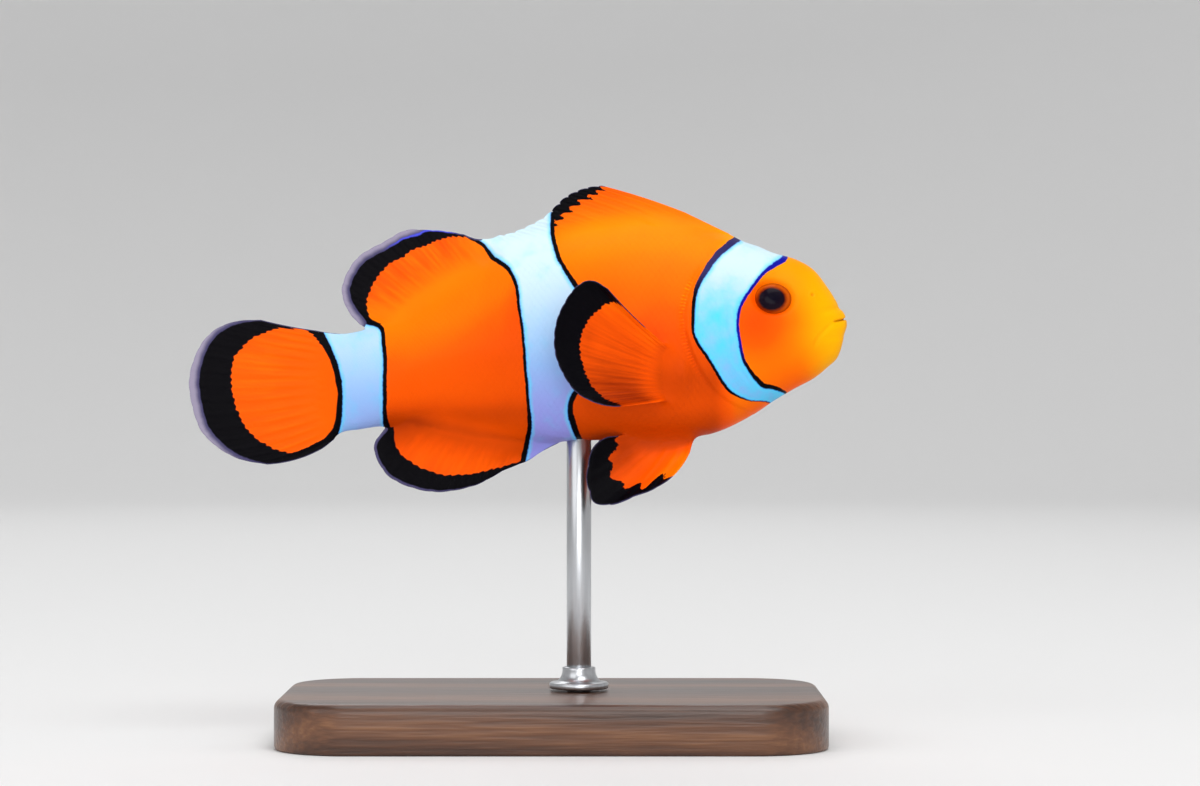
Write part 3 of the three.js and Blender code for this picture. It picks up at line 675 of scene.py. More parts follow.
def mark(points, own, gap, name=None):
    """The attributes that the shader reads, for one part's points: a fin's with its name, or
    the body's. Gap is the distance to the nearest junction of a fin and the body."""
    x, _, z = points.T
    shape = FINS.get(name)
    white, line = bar_depth(x, z, [HEAD_BAR, MID_BAR, TAIL_BAR])
    if shape:
        # Where a bar ends at a fin's base, its black line goes round it on the fin's side.
        body_white, body_line = np.minimum(white, -0.1), line
        white, line = bar_depth(x, z, FIN_BARS[name])
        round_it = (gap < ROUND_GAP) & (body_white > white)
        white = np.where(round_it, body_white, white)
        line = np.where(round_it, body_line, line)
    gill_s, gill_t = gill_distance(x, z)
    front, _, _ = nearest_on_curve(HEAD_BAR_FRONT, x, z)
    rear, _, _ = nearest_on_curve(HEAD_BAR_REAR, x, z)

    up = height_share(x, z)
    # The painted chest shadow reaches onto a fin only within 5 mm of its junction with the body.
    tone = body_tone(x, z, up, smooth_step(5.0, 0.0, gap) if shape else 1.0)
    # The strip over the anal fin's base, where painted shade and painted light are put below.
    fold = smooth_step(44.0, 41.5, z) * smooth_step(-15.5, -13.0, x) * smooth_step(4.0, 1.0, x)
    # The white bars turn lilac and darker towards the belly: painted shade.
    lilac = 1 - smooth_step(0.0, 0.95, up)

    made = dict(
        white=white, line=line, gill_s=gill_s, gill_t=gill_t, crease=own["crease"],
        scale_s=own["scale_s"], scale_t=own["scale_t"], ray=own["ray"], reach=own["reach"],
        lilac=mix(lilac, 0.5, 0.5 * smooth_step(-8.0, -16.0, x)),
        cyan=smooth_step(14.0, 22.0, x) * (1 - smooth_step(0.55, 0.85, up)),
        blue=(front < NEAR_LINE) * smooth_step(45.5, 48.5, z),
        purple=(rear < NEAR_LINE) * (front > NEAR_LINE) * smooth_step(53.5, 57.5, z))
    if shape:
        tone = mix(tone, own["own_tone"], smooth_step(0.0, shape["blend"], gap))
        blue_edge = smooth_step(59.6, 61.0, z) * smooth_step(-7.0, -9.0, x)
        made.update(
            black=-depth_in(np.array(shape["orange"]), x, z)[0], pale=own["pale"],
            blue=blue_edge + made["blue"] * (x > 10), scaly=0.0,
            fin=smooth_step(0.3, shape["blend"], gap) * shape["streak"],
            tooth=smooth_step(0.3, 2.0, gap) * shape["tooth"], coarse=shape["coarse"])
    else:
        tail = -depth_in(np.array(FINS["tail_fin"]["orange"]), x, z)[0]
        cover = smooth_step(0.0, 0.8, -gill_s)
        bare = smooth_step(27.0, 33.0, x)
        made.update(
            black=np.where(x < -19.5, tail, -NOT_HERE), pale=NOT_HERE, fin=0.0,
            scaly=mix(0.55, 1.0, cover) * (1 - bare) * smooth_step(0.0, 1.6, gap),
            tooth=0.0, coarse=0.0)
    # Over the anal fin's base: a thin painted shade in the fold, and painted light beside it that
    # lifts the rendered shade of the crease.
    lit = 0.10 * bell(gap, 1.3) * smooth_step(-13.0, -8.0, x)
    made["tone"] = tone + (lit - 0.09 * bell(gap, 0.5)) * fold
    return made


# ------------------------------------------------------------------ one skin


def put_attributes(mesh, values):
    for key, array in values.items():
        made = mesh.attributes.new(key, "FLOAT", "POINT")
        made.data.foreach_set("value", array.astype(np.float32))


def set_faces(mesh, part):
    """Gives every face a part's number, and smooth shading."""
    mesh.polygons.foreach_set("material_index", np.full(len(mesh.polygons), part, np.int32))
    mesh.polygons.foreach_set("use_smooth", np.ones(len(mesh.polygons), bool))


def make_object(name, points, faces, values=None, part=0, parts=1):
    """A mesh object from millimetres, with one float attribute for each named array."""
    mesh = bpy.data.meshes.new(name)
    mesh.from_pydata((np.asarray(points) * MM).tolist(), [], faces)
    mesh.update()
    volume = bmesh.new()
    volume.from_mesh(mesh)
    if volume.calc_volume(signed=True) < 0:
        bmesh.ops.reverse_faces(volume, faces=volume.faces[:])
        volume.to_mesh(mesh)
    volume.free()
    put_attributes(mesh, values or {})
    for _ in range(parts):
        mesh.materials.append(None)
    set_faces(mesh, part)
    obj = bpy.data.objects.new(name, mesh)
    bpy.context.scene.collection.objects.link(obj)
    return obj


def read(items, name, kind=np.float32, width=1):
    """A property of a mesh's vertices, edges, corners or faces, as an array."""
    flat = np.zeros(len(items) * width, kind)
    items.foreach_get(name, flat)
    return flat.reshape(-1, width) if width > 1 else flat


def carried(tree, faces, points, values, wanted):
    """Values at the wanted places, from the nearest face of a source mesh."""
    result = np.zeros((len(wanted), values.shape[1]))
    for k, place in enumerate(wanted):
        _, _, face, _ = tree.find_nearest(Vector(place))
        corners = faces[face]
        weights = poly_3d_calc([Vector(points[c]) for c in corners], Vector(place))
        result[k] = np.asarray(weights) @ values[list(corners)]
    return result


def drop_folds(work):
    """Deletes triangles that lie back to back on the same three corners."""
    seen, folded = {}, []
    for face in work.faces:
        corners = tuple(sorted(vertex.index for vertex in face.verts))
        if corners in seen:
            folded += [seen[corners], face]
        seen[corners] = face
    bmesh.ops.delete(work, geom=folded, context="FACES")


def join_parts(parts):
    """The union of closed parts as one mesh. A face's material index says its part."""
    count = len(parts)
    objects = [make_object(f"part{n}", p, f, None, n, count) for n, (p, f, _) in enumerate(parts)]
    whole = objects[0]
    for other in objects[1:]:
        cut = whole.modifiers.new("join", "BOOLEAN")
        cut.operation, cut.solver, cut.object = "UNION", "MANIFOLD", other
        bpy.context.view_layer.update()
        done = bpy.data.meshes.new_from_object(
            whole.evaluated_get(bpy.context.evaluated_depsgraph_get()))
        whole.modifiers.clear()
        whole.data = done
    work = bmesh.new()
    work.from_mesh(whole.data)
    bmesh.ops.triangulate(work, faces=work.faces[:], quad_method="BEAUTY", ngon_method="BEAUTY")
    drop_folds(work)
    work.to_mesh(whole.data)
    work.free()
    for obj in objects[1:]:
        bpy.data.objects.remove(obj)
    return whole


JUNCTION_REACH = 2.0  # mm round a junction that is smoothed into a fillet
JUNCTION_ROUNDS = 36
JUNCTION_PULL = 0.6  # how far each round moves a point towards its neighbours' middle


def distance_to(places, points):
    """Each point's distance to the nearest of some places."""
    tree = KDTree(len(places))
    for number, place in enumerate(places):
        tree.insert(place, number)
    tree.balance()
    return np.array([tree.find(point)[2] for point in points])


def fillet(points, edges, gap):
    """Smooths the points near the junctions of two parts."""
    near = np.sqrt(np.clip(1 - gap / JUNCTION_REACH, 0, 1))[:, None]
    degree = np.bincount(edges.reshape(-1), minlength=len(points))[:, None]
    for _ in range(JUNCTION_ROUNDS):
        total = np.zeros_like(points)
        for column in range(3):
            for here, there in (edges.T, edges.T[::-1]):
                total[:, column] += np.bincount(here, points[there, column], len(points))
        points = points + JUNCTION_PULL * near * (total / np.maximum(degree, 1) - points)
    return points


CHART_GAP = 0.8  # mm between two charts of the map


def lay_out(mesh, part, flat):
    """Lays each chart's flat coordinates, in mm, side by side into one square map."""
    boxes = []
    for chart in np.unique(part):
        own = part == chart
        low, high = flat[own].min(0), flat[own].max(0)
        boxes.append((chart, low, high - low))
    boxes.sort(key=lambda box: -box[2][1])
    best = None
    for wide in np.arange(80, 160, 2.0):
        x = y = shelf = 0.0
        places = {}
        for chart, low, size in boxes:
            if x > 0 and x + size[0] > wide:
                x, y, shelf = 0.0, y + shelf + CHART_GAP, 0.0
            places[chart] = np.array([x, y]) - low
            x, shelf = x + size[0] + CHART_GAP, max(shelf, size[1])
        side = max(wide, y + shelf)
        if best is None or side < best[0]:
            best = (side, places)
    side, places = best
    shift = np.array([places[chart] for chart in part])
    uv = (flat + shift + CHART_GAP / 2) / (side + CHART_GAP)
    layer = mesh.uv_layers.new(name="OFBake")
    layer.data.foreach_set("uv", uv.astype(np.float32).reshape(-1))


def map_skin(mesh, points, corner, corner_part, body_map):
    """The UV map: the body's sides by run and girth, and the fins' as seen from the side."""
    normal_y = np.repeat(read(mesh.polygons, "normal", width=3)[:, 1], 3)
    centre = points[corner].reshape(-1, 3, 3).mean(1)
    body_side = np.repeat(centre[:, 1] - sway(centre[:, 0]) > 0, 3)
    chart = corner_part * 2 + np.where(corner_part == 0, body_side, normal_y > 0)
    flat = np.where((corner_part == 0)[:, None], body_map[corner], points[corner][:, [0, 2]])
    lay_out(mesh, chart, flat)


CARRIED = ("run", "girth", "scale_s", "scale_t", "crease", "ray", "reach", "own_tone", "pale")


def build_skin():
    """The skin object: body and fins in one closed mesh, with markings and UV map."""
    parts = [(None, *build_body())]
    for name, shape in FINS.items():
        for side in (1, -1) if "reach" in shape else (1,):
            parts.append((name, *build_fin(shape, side)))
    skin = join_parts([part[1:] for part in parts])
    mesh = skin.data
    skin.name = mesh.name = "skin"

    points = read(mesh.vertices, "co", width=3).astype(float) / MM
    corner = read(mesh.loops, "vertex_index", np.int32)
    corner_part = np.repeat(read(mesh.polygons, "material_index", np.int32), 3)
    highest = np.zeros(len(points), int)
    np.maximum.at(highest, corner, corner_part)
    lowest = np.full(len(points), len(parts))
    np.minimum.at(lowest, corner, corner_part)

    gap = distance_to(points[highest != lowest], points)
    smooth = fillet(points, read(mesh.edges, "vertices", np.int32, 2), gap)
    mesh.vertices.foreach_set("co", (smooth * MM).astype(np.float32).reshape(-1))
    mesh.update()

    made = {}
    body_map = np.zeros((len(points), 2))
    for number, (name, source, faces, own) in enumerate(parts):
        own = {key: own.get(key, np.zeros(len(source))) for key in CARRIED}
        values = np.stack(list(own.values()), -1)
        tree = BVHTree.FromPolygons(source.tolist(), faces)
        mine = np.flatnonzero(highest == number)
        table = carried(tree, faces, source, values, points[mine])
        if number == 0:
            body_map[mine] = table[:, :2]
            shared = np.flatnonzero((lowest == 0) & (highest > 0))
            body_map[shared] = carried(tree, faces, source, values, points[shared])[:, :2]
        for key, column in mark(smooth[mine], dict(zip(CARRIED, table.T)), gap[mine], name).items():
            made.setdefault(key, np.zeros(len(points)))[mine] = column
    put_attributes(mesh, dict(sorted(made.items())))
    map_skin(mesh, points, corner, corner_part, body_map)
    set_faces(mesh, 0)
    return skin


# ------------------------------------------------------------------ eyes

EYE_RINGS = 36
EYE_AROUND = 80
EYE_BACK_DEPTH = 0.9
PUPIL_RADII = (1.52, 1.27)
PUPIL_AT = (-0.34, -0.30)  # it looks straight out to the side


def build_eye(side):
    """An eyeball: a blunt dome in front and a shallow cap behind, inside the head."""
    t = np.linspace(0, np.pi / 2, EYE_RINGS + 1)[1:]
    rho = np.concatenate([np.sin(t), np.sin(t[:-1])[::-1]])
    out = np.concatenate([eye_dome(np.sin(t)), -EYE_BACK_DEPTH * np.cos(t[:-1])[::-1]])
    turn = np.arange(EYE_AROUND) * 2 * np.pi / EYE_AROUND
    q = np.stack([
        EYE_RADII[0] * rho[:, None] * np.cos(turn),
        out[:, None] * np.ones(EYE_AROUND),
        EYE_RADII[2] * rho[:, None] * np.sin(turn)], -1).reshape(-1, 3)
    q = np.vstack([q, [[0, EYE_RADII[1], 0], [0, -EYE_BACK_DEPTH, 0]]])
    own = {
        "pupil": np.hypot((q[:, 0] - PUPIL_AT[0]) / PUPIL_RADII[0],
                          (q[:, 2] - PUPIL_AT[1]) / PUPIL_RADII[1])
        + NOT_HERE * (q[:, 1] < 0),
        "iris": np.hypot(q[:, 0] / EYE_RADII[0], q[:, 2] / EYE_RADII[2]),
    }
    points = EYE_CENTRE + q @ eye_axes().T
    points[:, 1] *= side
    index, faces = ring_quads(len(rho), EYE_AROUND)
    faces += [face[::-1] for face in fan(index[0], len(q) - 2)] + fan(index[-1], len(q) - 1)
    return make_object("eyeball_left" if side > 0 else "eyeball_right", points, faces, own)


# ------------------------------------------------------------------ the stand

ROUND_STEPS = 96
CORNER_STEPS = 16
BASE_CORNER = 9.0
BASE_EDGE = 1.1  # radius of the base's upper edge


def capped_rings(name, points, rings):
    """A closed solid round a stack of rings, with a flat face on the first and the last."""
    index, faces = ring_quads(rings, len(points) // rings)
    return make_object(name, points, [*faces, index[0, ::-1].tolist(), index[-1].tolist()])


def lathe(name, centre, profile):
    """A closed solid of revolution about a vertical axis. The profile, radius and height,
    starts and ends on the axis."""
    turn = np.arange(ROUND_STEPS) * 2 * np.pi / ROUND_STEPS
    rings = [(r, z) for r, z in profile if r > 0]
    points = [(centre[0] + r * np.cos(a), centre[1] + r * np.sin(a), z)
              for r, z in rings for a in turn]
    return capped_rings(name, points, len(rings))


def rounded_plate(name, low, high, corner, rings):
    """A plate with round corners. Each ring is an inset from the outline, and a height."""
    points = []
    for inset, z in rings:
        radius = corner - inset
        for quarter, (sx, sy) in enumerate(((1, 1), (-1, 1), (-1, -1), (1, -1))):
            cx = (high[0] if sx > 0 else low[0]) - sx * corner
            cy = (high[1] if sy > 0 else low[1]) - sy * corner
            for a in np.linspace(0, np.pi / 2, CORNER_STEPS + 1) + quarter * np.pi / 2:
                points.append((cx + radius * np.cos(a), cy + radius * np.sin(a), z))
    return capped_rings(name, points, len(rings))


def quarter_round(inset_end, z_end, radius, steps=8):
    """Rings of a rounded upper edge, up to the flat top."""
    return [(inset_end - radius + radius * (1 - np.cos(a)), z_end - radius + radius * np.sin(a))
            for a in np.linspace(0, np.pi / 2, steps + 1)]


def box_mm(node):
    """The lowest and the highest corner of a CAD node, in mm."""
    return [np.array(corner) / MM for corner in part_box(node)]


def build_stand():
    """The base, the rod and the collar, each as large as its CAD node."""
    low, high = box_mm("stand_base")
    rings = [(0.4, low[2]), (0.1, low[2] + 0.12), (0, low[2] + 0.4)]
    rings += quarter_round(BASE_EDGE, high[2], BASE_EDGE)
    base = rounded_plate("base_plate", low, high, BASE_CORNER, rings)

    low, high = box_mm("stand_rod")
    centre, radius = (low + high) / 2, (high[0] - low[0]) / 2
    rod = lathe("rod", centre, [(radius - 0.2, low[2]), (radius, low[2] + 0.2),
                                (radius, high[2] - 0.2), (radius - 0.2, high[2])])

    low, high = box_mm("stand_collar")
    outer, tall = (high[0] - low[0]) / 2, high[2] - low[2]
    cove = [(mix(0.86, 0.56, np.sin(a)) * outer, low[2] + tall * mix(0.30, 0.86, 1 - np.cos(a)))
            for a in np.linspace(0, np.pi / 2, 9)]
    collar = lathe("collar", centre, [
        (outer - 0.12, low[2]), (outer, low[2] + 0.10), (outer, low[2] + 0.24 * tall),
        (outer - 0.14, low[2] + 0.29 * tall)] + cove + [
        (0.56 * outer, high[2] - 0.10), (0.53 * outer, high[2])])
    return base, rod, collar


# ------------------------------------------------------------------ materials


def srgb(red, green, blue):
    """A colour from its usual 0 to 255 numbers."""
    v = np.array([red, green, blue]) / 255
    linear = np.where(v <= 0.04045, v / 12.92, ((v + 0.055) / 1.055) ** 2.4)
    return (*linear.tolist(), 1.0)


class Graph:
    """Short names for making one material's nodes. Lengths in its methods are millimetres."""

    def __init__(self, name):
        self.material = bpy.data.materials.new(name)
        self.material.use_nodes = True
        self.tree = self.material.node_tree
        self.shader = self.tree.nodes["Principled BSDF"]

    def node(self, kind, inputs, **settings):
        made = self.tree.nodes.new(kind)
        for key, value in settings.items():
            setattr(made, key, value)
        for key, value in inputs.items():
            self.put(made.inputs[key], value)
        return made

    def put(self, socket, value):
        if isinstance(value, bpy.types.NodeSocket):
            self.tree.links.new(value, socket)
        else:
            socket.default_value = value

    def attribute(self, name):
        return self.node("ShaderNodeAttribute", {}, attribute_name=name).outputs["Fac"]

    def place(self):
        return self.node("ShaderNodeTexCoord", {}).outputs["Object"]

    def math(self, operation, *values):
        made = self.node("ShaderNodeMath", dict(enumerate(values)), operation=operation)
        return made.outputs[0]

    def chain(self, operation, values):
        total = values[0]
        for value in values[1:]:
            total = self.math(operation, total, value)
        return total

    def add(self, *values):
        return self.chain("ADD", values)

    def times(self, *values):
        return self.chain("MULTIPLY", values)

    def less(self, a, b):
        return self.math("SUBTRACT", a, b)

    def blend_value(self, share, a, b):
        return self.add(a, self.times(share, self.less(b, a)))

    def step(self, value, low, high, to_low=0.0, to_high=1.0):
        """A smooth step from to_low to to_high as the value goes from low to high."""
        inputs = {"Value": value, "From Min": low, "From Max": high, "To Min": to_low,
                  "To Max": to_high}
        made = self.node("ShaderNodeMapRange", inputs, interpolation_type="SMOOTHSTEP")
        return made.outputs["Result"]

    def blend(self, share, a, b):
        made = self.tree.nodes.new("ShaderNodeMix")
        made.data_type = "RGBA"
        self.put(made.inputs["Factor"], share)
        for name, value in (("A", a), ("B", b)):
            self.put(next(s for s in made.inputs if s.name == name and s.type == "RGBA"), value)
        return next(s for s in made.outputs if s.type == "RGBA")

    def noise(self, per_mm, detail=2.0, stretch=(1, 1, 1)):
        """Soft noise from -0.5 to 0.5, with so many lumps in a millimetre."""
        place = self.node("ShaderNodeMapping", {"Vector": self.place(), "Scale": stretch})
        inputs = {"Vector": place.outputs[0], "Scale": per_mm / MM, "Detail": detail}
        return self.less(self.node("ShaderNodeTexNoise", inputs).outputs["Fac"], 0.5)

    def ramp(self, value, stops):
        made = self.node("ShaderNodeValToRGB", {"Fac": value})
        bar = made.color_ramp
        bar.elements[0].position, bar.elements[0].color = stops[0]
        bar.elements[1].position, bar.elements[1].color = stops[-1]
        for position, colour in stops[1:-1]:
            bar.elements.new(position).color = colour
        return made.outputs["Color"]

    def bump(self, height_mm):
        inputs = {"Height": height_mm, "Distance": MM, "Strength": 1.0}
        return self.node("ShaderNodeBump", inputs).outputs["Normal"]

    def finish(self, **sockets):
        for name, value in sockets.items():
            self.put(self.shader.inputs[name.replace("_", " ")], value)
        return self.material


SCALE_HALF_HEIGHT = 0.50  # in cells
SCALE_REACH = 0.80  # how far a scale runs back over the next one, in cells


def scale_height(g):
    """Overlapping scales, from 0 at a scale's front to 1 at its free rear edge."""
    s, t = g.attribute("scale_s"), g.attribute("scale_t")
    heights = []
    for offset in (0.0, 0.5):
        a = g.math("FRACT", g.add(s, offset))
        b = g.less(g.math("FRACT", g.add(t, offset)), 0.5)
        b2 = g.times(b, b, 1 / SCALE_HALF_HEIGHT**2)
        for ahead in (0.0, 1.0):
            run = g.less(a, ahead)
            far = g.add(g.times(run, run, 1 / SCALE_REACH**2), b2)
            heights.append(g.times(g.math("LESS_THAN", far, 1.0), g.add(run, 1.0)))
    return g.times(g.chain("MAXIMUM", heights), 1 / (1.0 + SCALE_REACH))


def ray_streaks(g, ray, reach):
    """Soft streaks that follow a fin's rays, from -0.5 to 0.5."""
    across, along = g.times(ray, 1.9), g.times(reach, 2.2)
    lie = g.node("ShaderNodeCombineXYZ", {"X": across, "Y": along, "Z": 0.0})
    streak = g.node("ShaderNodeTexNoise", {"Vector": lie.outputs[0], "Scale": 1.0, "Detail": 2.0})
    return g.less(streak.outputs["Fac"], 0.5)


GILL_TOOTH_PITCH = 0.40  # mm between the light marks behind the gill cover


def gill_teeth(g, wave, grit, fin):
    """The row of short light marks behind the gill cover, 0 to 1."""
    s, t = g.attribute("gill_s"), g.attribute("gill_t")
    row = g.times(g.step(s, -1.0, -0.55), g.step(s, -0.28, -0.02, 1.0, 0.0))
    row = g.times(row, g.step(t, 10.0, 12.5), g.step(t, 18.0, 24.0, 1.0, 0.0))
    tooth = g.math("COSINE", g.add(g.times(t, 2 * np.pi / GILL_TOOTH_PITCH), g.times(wave, 5.0)))
    return g.times(row, g.step(tooth, -0.5, 1.0), g.step(grit, -0.22, 0.12), g.less(1.0, fin))


def bar_colour(g, white, wave):
    """A white bar: lilac and darker low down, which is painted shade, with a cyan sheen and a blue
    and cyan glow along its edge.
    """
    bar = g.ramp(g.attribute("lilac"), [
        (0.0, srgb(206, 230, 242)), (0.35, srgb(168, 206, 244)), (0.65, srgb(146, 184, 240)),
        (1.0, srgb(150, 150, 232))])
    sheen = g.add(0.06, g.times(g.attribute("cyan"), 0.44), g.times(g.noise(0.42, 3.0), 0.9))
    bar = g.blend(g.step(sheen, 0.0, 0.9), bar, srgb(70, 214, 250))
    glow = g.step(g.add(white, g.times(wave, 0.4)), 0.08, 0.60, 0.62, 0.0)
    bar = g.blend(glow, bar, srgb(84, 212, 252))
    return g.blend(g.step(white, 0.0, 0.16, 0.55, 0.0), bar, srgb(30, 70, 220))


def rim_colour(g, pale):
    """A fin's clear rim: lilac grey, darker and on the back bluer next to the black."""
    rim = g.blend(g.step(pale, -0.75, -0.12), srgb(152, 144, 166), srgb(74, 70, 106))
    blue = g.times(g.attribute("blue"), g.step(pale, -0.32, -0.10))
    return g.blend(blue, rim, srgb(78, 84, 226))


def skin_material():
    g = Graph("clownfish_skin")
    wave = g.noise(0.55, 1.0)
    grit = g.noise(2.4, 2.0)
    ray, reach, fin = (g.attribute(name) for name in ("ray", "reach", "fin"))

    tone = g.add(g.attribute("tone"), g.times(g.noise(0.16, 3.0), 0.10))
    uneven = g.add(ray, g.times(grit, 0.22))
    ray_wave = g.math("COSINE", g.times(uneven, 2 * np.pi))
    fork_wave = g.math("COSINE", g.times(uneven, 4 * np.pi))
    fine_wave = g.add(g.times(g.less(1.0, reach), ray_wave), g.times(reach, fork_wave))
    streaks = g.times(fin, ray_streaks(g, ray, reach), 0.34)
    tooth = gill_teeth(g, wave, grit, fin)
    tone = g.add(tone, g.times(fin, fine_wave, 0.030), streaks)
    tone = g.add(tone, g.times(tooth, 0.20))

    orange = g.ramp(tone, [
        (0.00, srgb(150, 42, 0)), (0.14, srgb(192, 61, 0)), (0.32, srgb(236, 79, 0)),
        (0.50, srgb(255, 92, 0)), (0.68, srgb(255, 118, 0)), (0.85, srgb(255, 152, 0)),
        (1.00, srgb(255, 180, 0))])
    # Painted shade in the mouth's slit and the nostril's pit.
    orange = g.blend(g.attribute("crease"), orange, srgb(74, 22, 4))

    ink = g.blend(g.attribute("purple"), srgb(3, 2, 6), srgb(48, 42, 92))
    teeth = g.blend_value(g.attribute("coarse"), fork_wave, ray_wave)
    spike = g.times(g.attribute("tooth"), g.add(teeth, g.times(grit, 2.2)))
    margin = g.add(g.attribute("black"), spike, g.times(wave, 0.30))
    colour = g.blend(g.step(margin, -0.06, 0.06), orange, ink)

    white = g.add(g.attribute("white"), g.times(wave, 0.22), g.times(grit, 0.16))
    beyond = g.add(white, g.attribute("line"))
    line_ink = g.blend(g.attribute("blue"), ink, srgb(16, 14, 150))
    colour = g.blend(g.step(beyond, -0.05, 0.05), colour, line_ink)

    colour = g.blend(g.step(white, -0.05, 0.05), colour, bar_colour(g, white, wave))

    pale = g.add(g.attribute("pale"), g.times(grit, 0.10))
    share = g.times(g.step(pale, -0.10, 0.06, 1.0, 0.0), g.step(margin, -0.1, 0.1))
    colour = g.blend(share, colour, rim_colour(g, pale))

    relief = g.times(scale_height(g), g.attribute("scaly"), 0.062)
    rays = g.times(g.math("MINIMUM", fin, 1.0), fine_wave, 0.022)
    height = g.add(relief, rays, g.times(tooth, 0.05), g.times(g.noise(3.0, 3.0), 0.012))
    return g.finish(
        Base_Color=colour, Normal=g.bump(height), Roughness=0.42, Specular_IOR_Level=0.045)


def eye_material():
    g = Graph("clownfish_eye")
    pupil, iris = g.attribute("pupil"), g.attribute("iris")
    fibres = g.noise(2.2, 3.0)
    depth = g.times(g.less(pupil, 1.0), 1.6)
    brown = g.ramp(g.add(depth, g.times(fibres, 0.22)), [
        (0.00, srgb(84, 26, 6)), (0.20, srgb(140, 46, 2)), (0.42, srgb(186, 72, 0)),
        (0.62, srgb(198, 84, 0)), (0.85, srgb(178, 70, 0))])
    brown = g.blend(g.step(iris, 0.90, 1.0, 0.0, 0.45), brown, srgb(120, 42, 0))
    black = g.blend(g.step(g.add(pupil, g.times(g.noise(0.6), 0.8)), 0.2, 1.1), srgb(8, 4, 20),
                    srgb(22, 8, 22))
    colour = g.blend(g.step(g.add(pupil, g.times(fibres, 0.05)), 0.94, 1.06), black, brown)
    return g.finish(
        Base_Color=colour, Roughness=0.30, Specular_IOR_Level=0.04, Coat_Weight=0.06,
        Coat_Roughness=0.08)


def wood_material():
    g = Graph("walnut")
    flow = g.noise(0.035, 3.0, (0.25, 1, 1))
    place = g.node("ShaderNodeSeparateXYZ", {"Vector": g.place()})
    rings = g.add(g.times(place.outputs["Y"], 0.42 / MM), g.times(flow, 9.0),
                  g.times(place.outputs["Z"], 0.9 / MM))
    band = g.math("SINE", rings)
    pores = g.noise(1.9, 2.0, (0.05, 1, 1))
    share = g.add(0.5, g.times(band, 0.24), g.times(pores, 0.75))
    colour = g.ramp(share, [
        (0.05, srgb(44, 25, 15)), (0.40, srgb(78, 46, 27)), (0.70, srgb(104, 65, 39)),
        (1.00, srgb(134, 90, 56))])
    return g.finish(
        Base_Color=colour, Normal=g.bump(g.times(pores, 0.10)), Roughness=0.38,
        Coat_Weight=0.25, Coat_Roughness=0.15)


def steel_material():
    g = Graph("brushed_steel")
    streaks = g.noise(2.0, 3.0, (1, 1, 0.06))
    colour = g.blend(g.add(0.5, streaks), srgb(176, 178, 182), srgb(206, 208, 211))
    return g.finish(
        Base_Color=colour, Metallic=1.0, Roughness=0.30, Normal=g.bump(g.times(streaks, 0.02)))


def floor_material():
    g = Graph("pale_floor")
    colour = g.blend(g.add(0.5, g.noise(0.02, 2.0)), srgb(178, 180, 182), srgb(184, 186, 188))
    return g.finish(Base_Color=colour, Roughness=0.85)


# ------------------------------------------------------------------ the stage

FRAME_CENTRE = (9.97, 42.3)  # the place on the fish's plane at the picture's centre, mm
FRAME_WIDTH = 146.4  # of that plane, mm
LENS = 100.0
SENSOR = 36.0

FLOOR_RINGS = (0.25, 0.5, 0.75)  # radii on the flat part, m
COVE_RADIUS = 0.45
COVE_START = 0.9
WALL_HEIGHTS = (0.9, 1.4)

AIM = Vector((0.0, 0.0, 0.048))  # what the lamps point at
LAMPS = (  # name, place and size in metres, power in watts
    ("key", (0.25, -0.55, 0.85), 0.60, 3.9),
    ("front", (0.05, -0.95, 0.22), 0.60, 2.9),
    ("fill", (-0.55, -0.60, 0.45), 0.70, 1.5),
    ("back", (-0.10, 0.75, 0.75), 0.70, 2.2),
    ("top", (0.0, 0.0, 1.05), 0.60, 2.4))
WORLD_STRENGTH = 0.30


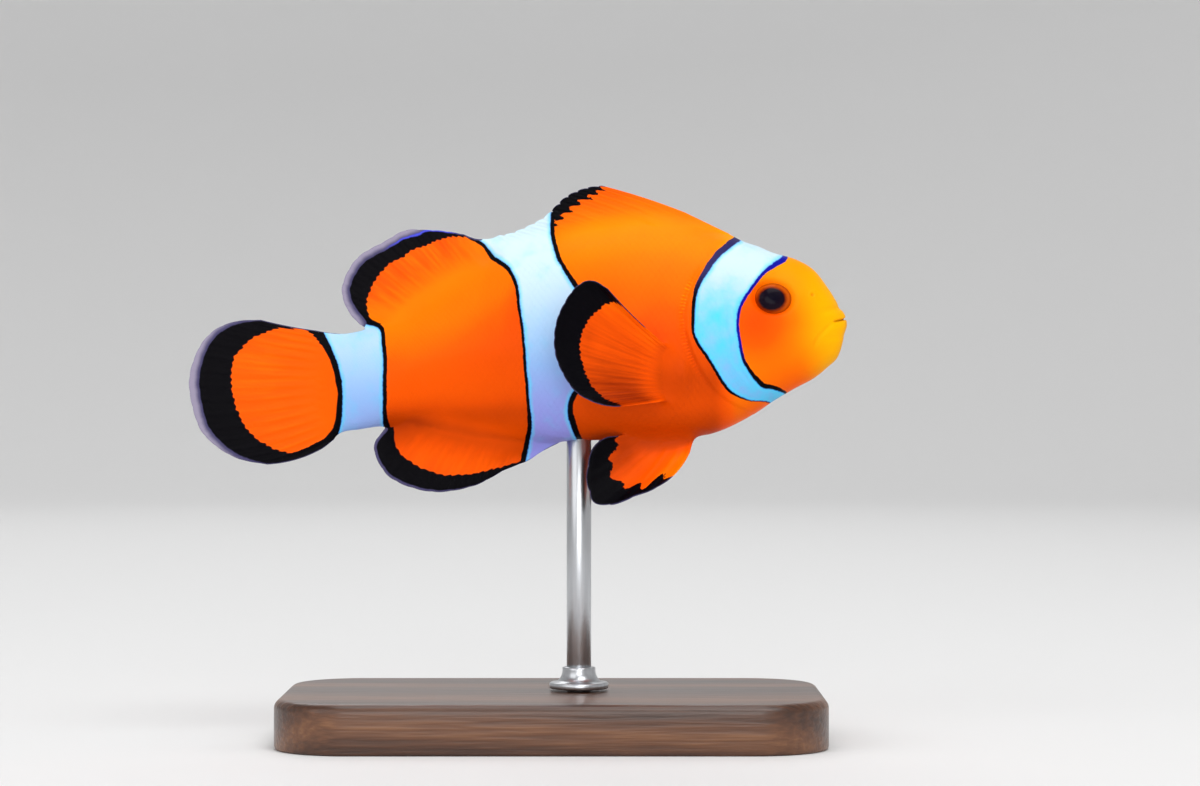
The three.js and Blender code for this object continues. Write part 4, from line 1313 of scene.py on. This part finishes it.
def build_floor():
    """A pale round floor that sweeps up into a wall all round."""
    profile = [(radius, 0.0) for radius in FLOOR_RINGS]
    profile += [(COVE_START + COVE_RADIUS * np.sin(a), COVE_RADIUS * (1 - np.cos(a)))
                for a in np.linspace(0, np.pi / 2, 15)]
    profile += [(COVE_START + COVE_RADIUS, height) for height in WALL_HEIGHTS]
    turn = np.arange(ROUND_STEPS) * 2 * np.pi / ROUND_STEPS
    points = [(0.0, 0.0, 0.0)] + [(r / MM * np.cos(a), r / MM * np.sin(a), z / MM)
                                  for r, z in profile for a in turn]
    index, quads = ring_quads(len(profile), ROUND_STEPS, first=1)
    faces = fan(index[0], 0) + [quad[::-1] for quad in quads]
    floor = make_object("floor", points, faces)
    floor.data.materials.append(floor_material())


def build_stage():
    """The floor, the world, the lights and the camera."""
    build_floor()
    scene = bpy.context.scene
    scene.view_settings.view_transform = "Standard"
    world = bpy.data.worlds.new("studio")
    world.use_nodes = True
    background = world.node_tree.nodes["Background"].inputs
    background["Color"].default_value = (1, 1, 1, 1)
    background["Strength"].default_value = WORLD_STRENGTH
    scene.world = world

    for name, place, size, power in LAMPS:
        lamp = bpy.data.lights.new(name, "AREA")
        lamp.shape, lamp.size, lamp.energy = "DISK", size, power
        held = bpy.data.objects.new(name, lamp)
        held.location = place
        held.rotation_euler = (AIM - Vector(place)).to_track_quat("-Z", "Y").to_euler()
        scene.collection.objects.link(held)

    camera = bpy.data.objects.new("camera", bpy.data.cameras.new("camera"))
    camera.data.lens, camera.data.sensor_width = LENS, SENSOR
    camera.data.clip_start, camera.data.clip_end = 0.01, 10.0
    distance = FRAME_WIDTH * LENS / SENSOR
    camera.location = (FRAME_CENTRE[0] * MM, -distance * MM, FRAME_CENTRE[1] * MM)
    camera.rotation_euler = (np.pi / 2, 0, 0)
    scene.collection.objects.link(camera)
    scene.camera = camera


# ------------------------------------------------------------------ everything together

FLESH = ["head", "lower_jaw", "gill_cover_left", "gill_cover_right", "trunk", "tail_stalk",
         "dorsal_fin_front", "dorsal_fin_rear", "anal_fin", "tail_fin", "pectoral_fin_left",
         "pectoral_fin_right", "pelvic_fin_left", "pelvic_fin_right"]


def install(piece, look, slot, *nodes):
    """Gives a piece its material, puts it under the root body and hides the CAD nodes it stands
    for.
    """
    piece.data.materials.clear()
    piece.data.materials.append(look)
    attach(piece, "root")
    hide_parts(*nodes)


build_stage()
install(build_skin(), skin_material(), "skin", *FLESH)

eye_look = eye_material()
install(build_eye(1), eye_look, "eye", "eye_left")
install(build_eye(-1), eye_look, "eye", "eye_right")

steel = steel_material()
base, rod, collar = build_stand()
install(base, wood_material(), "stand_wood", "stand_base")
install(rod, steel, "stand_steel", "stand_rod")
install(collar, steel, "stand_steel", "stand_collar")
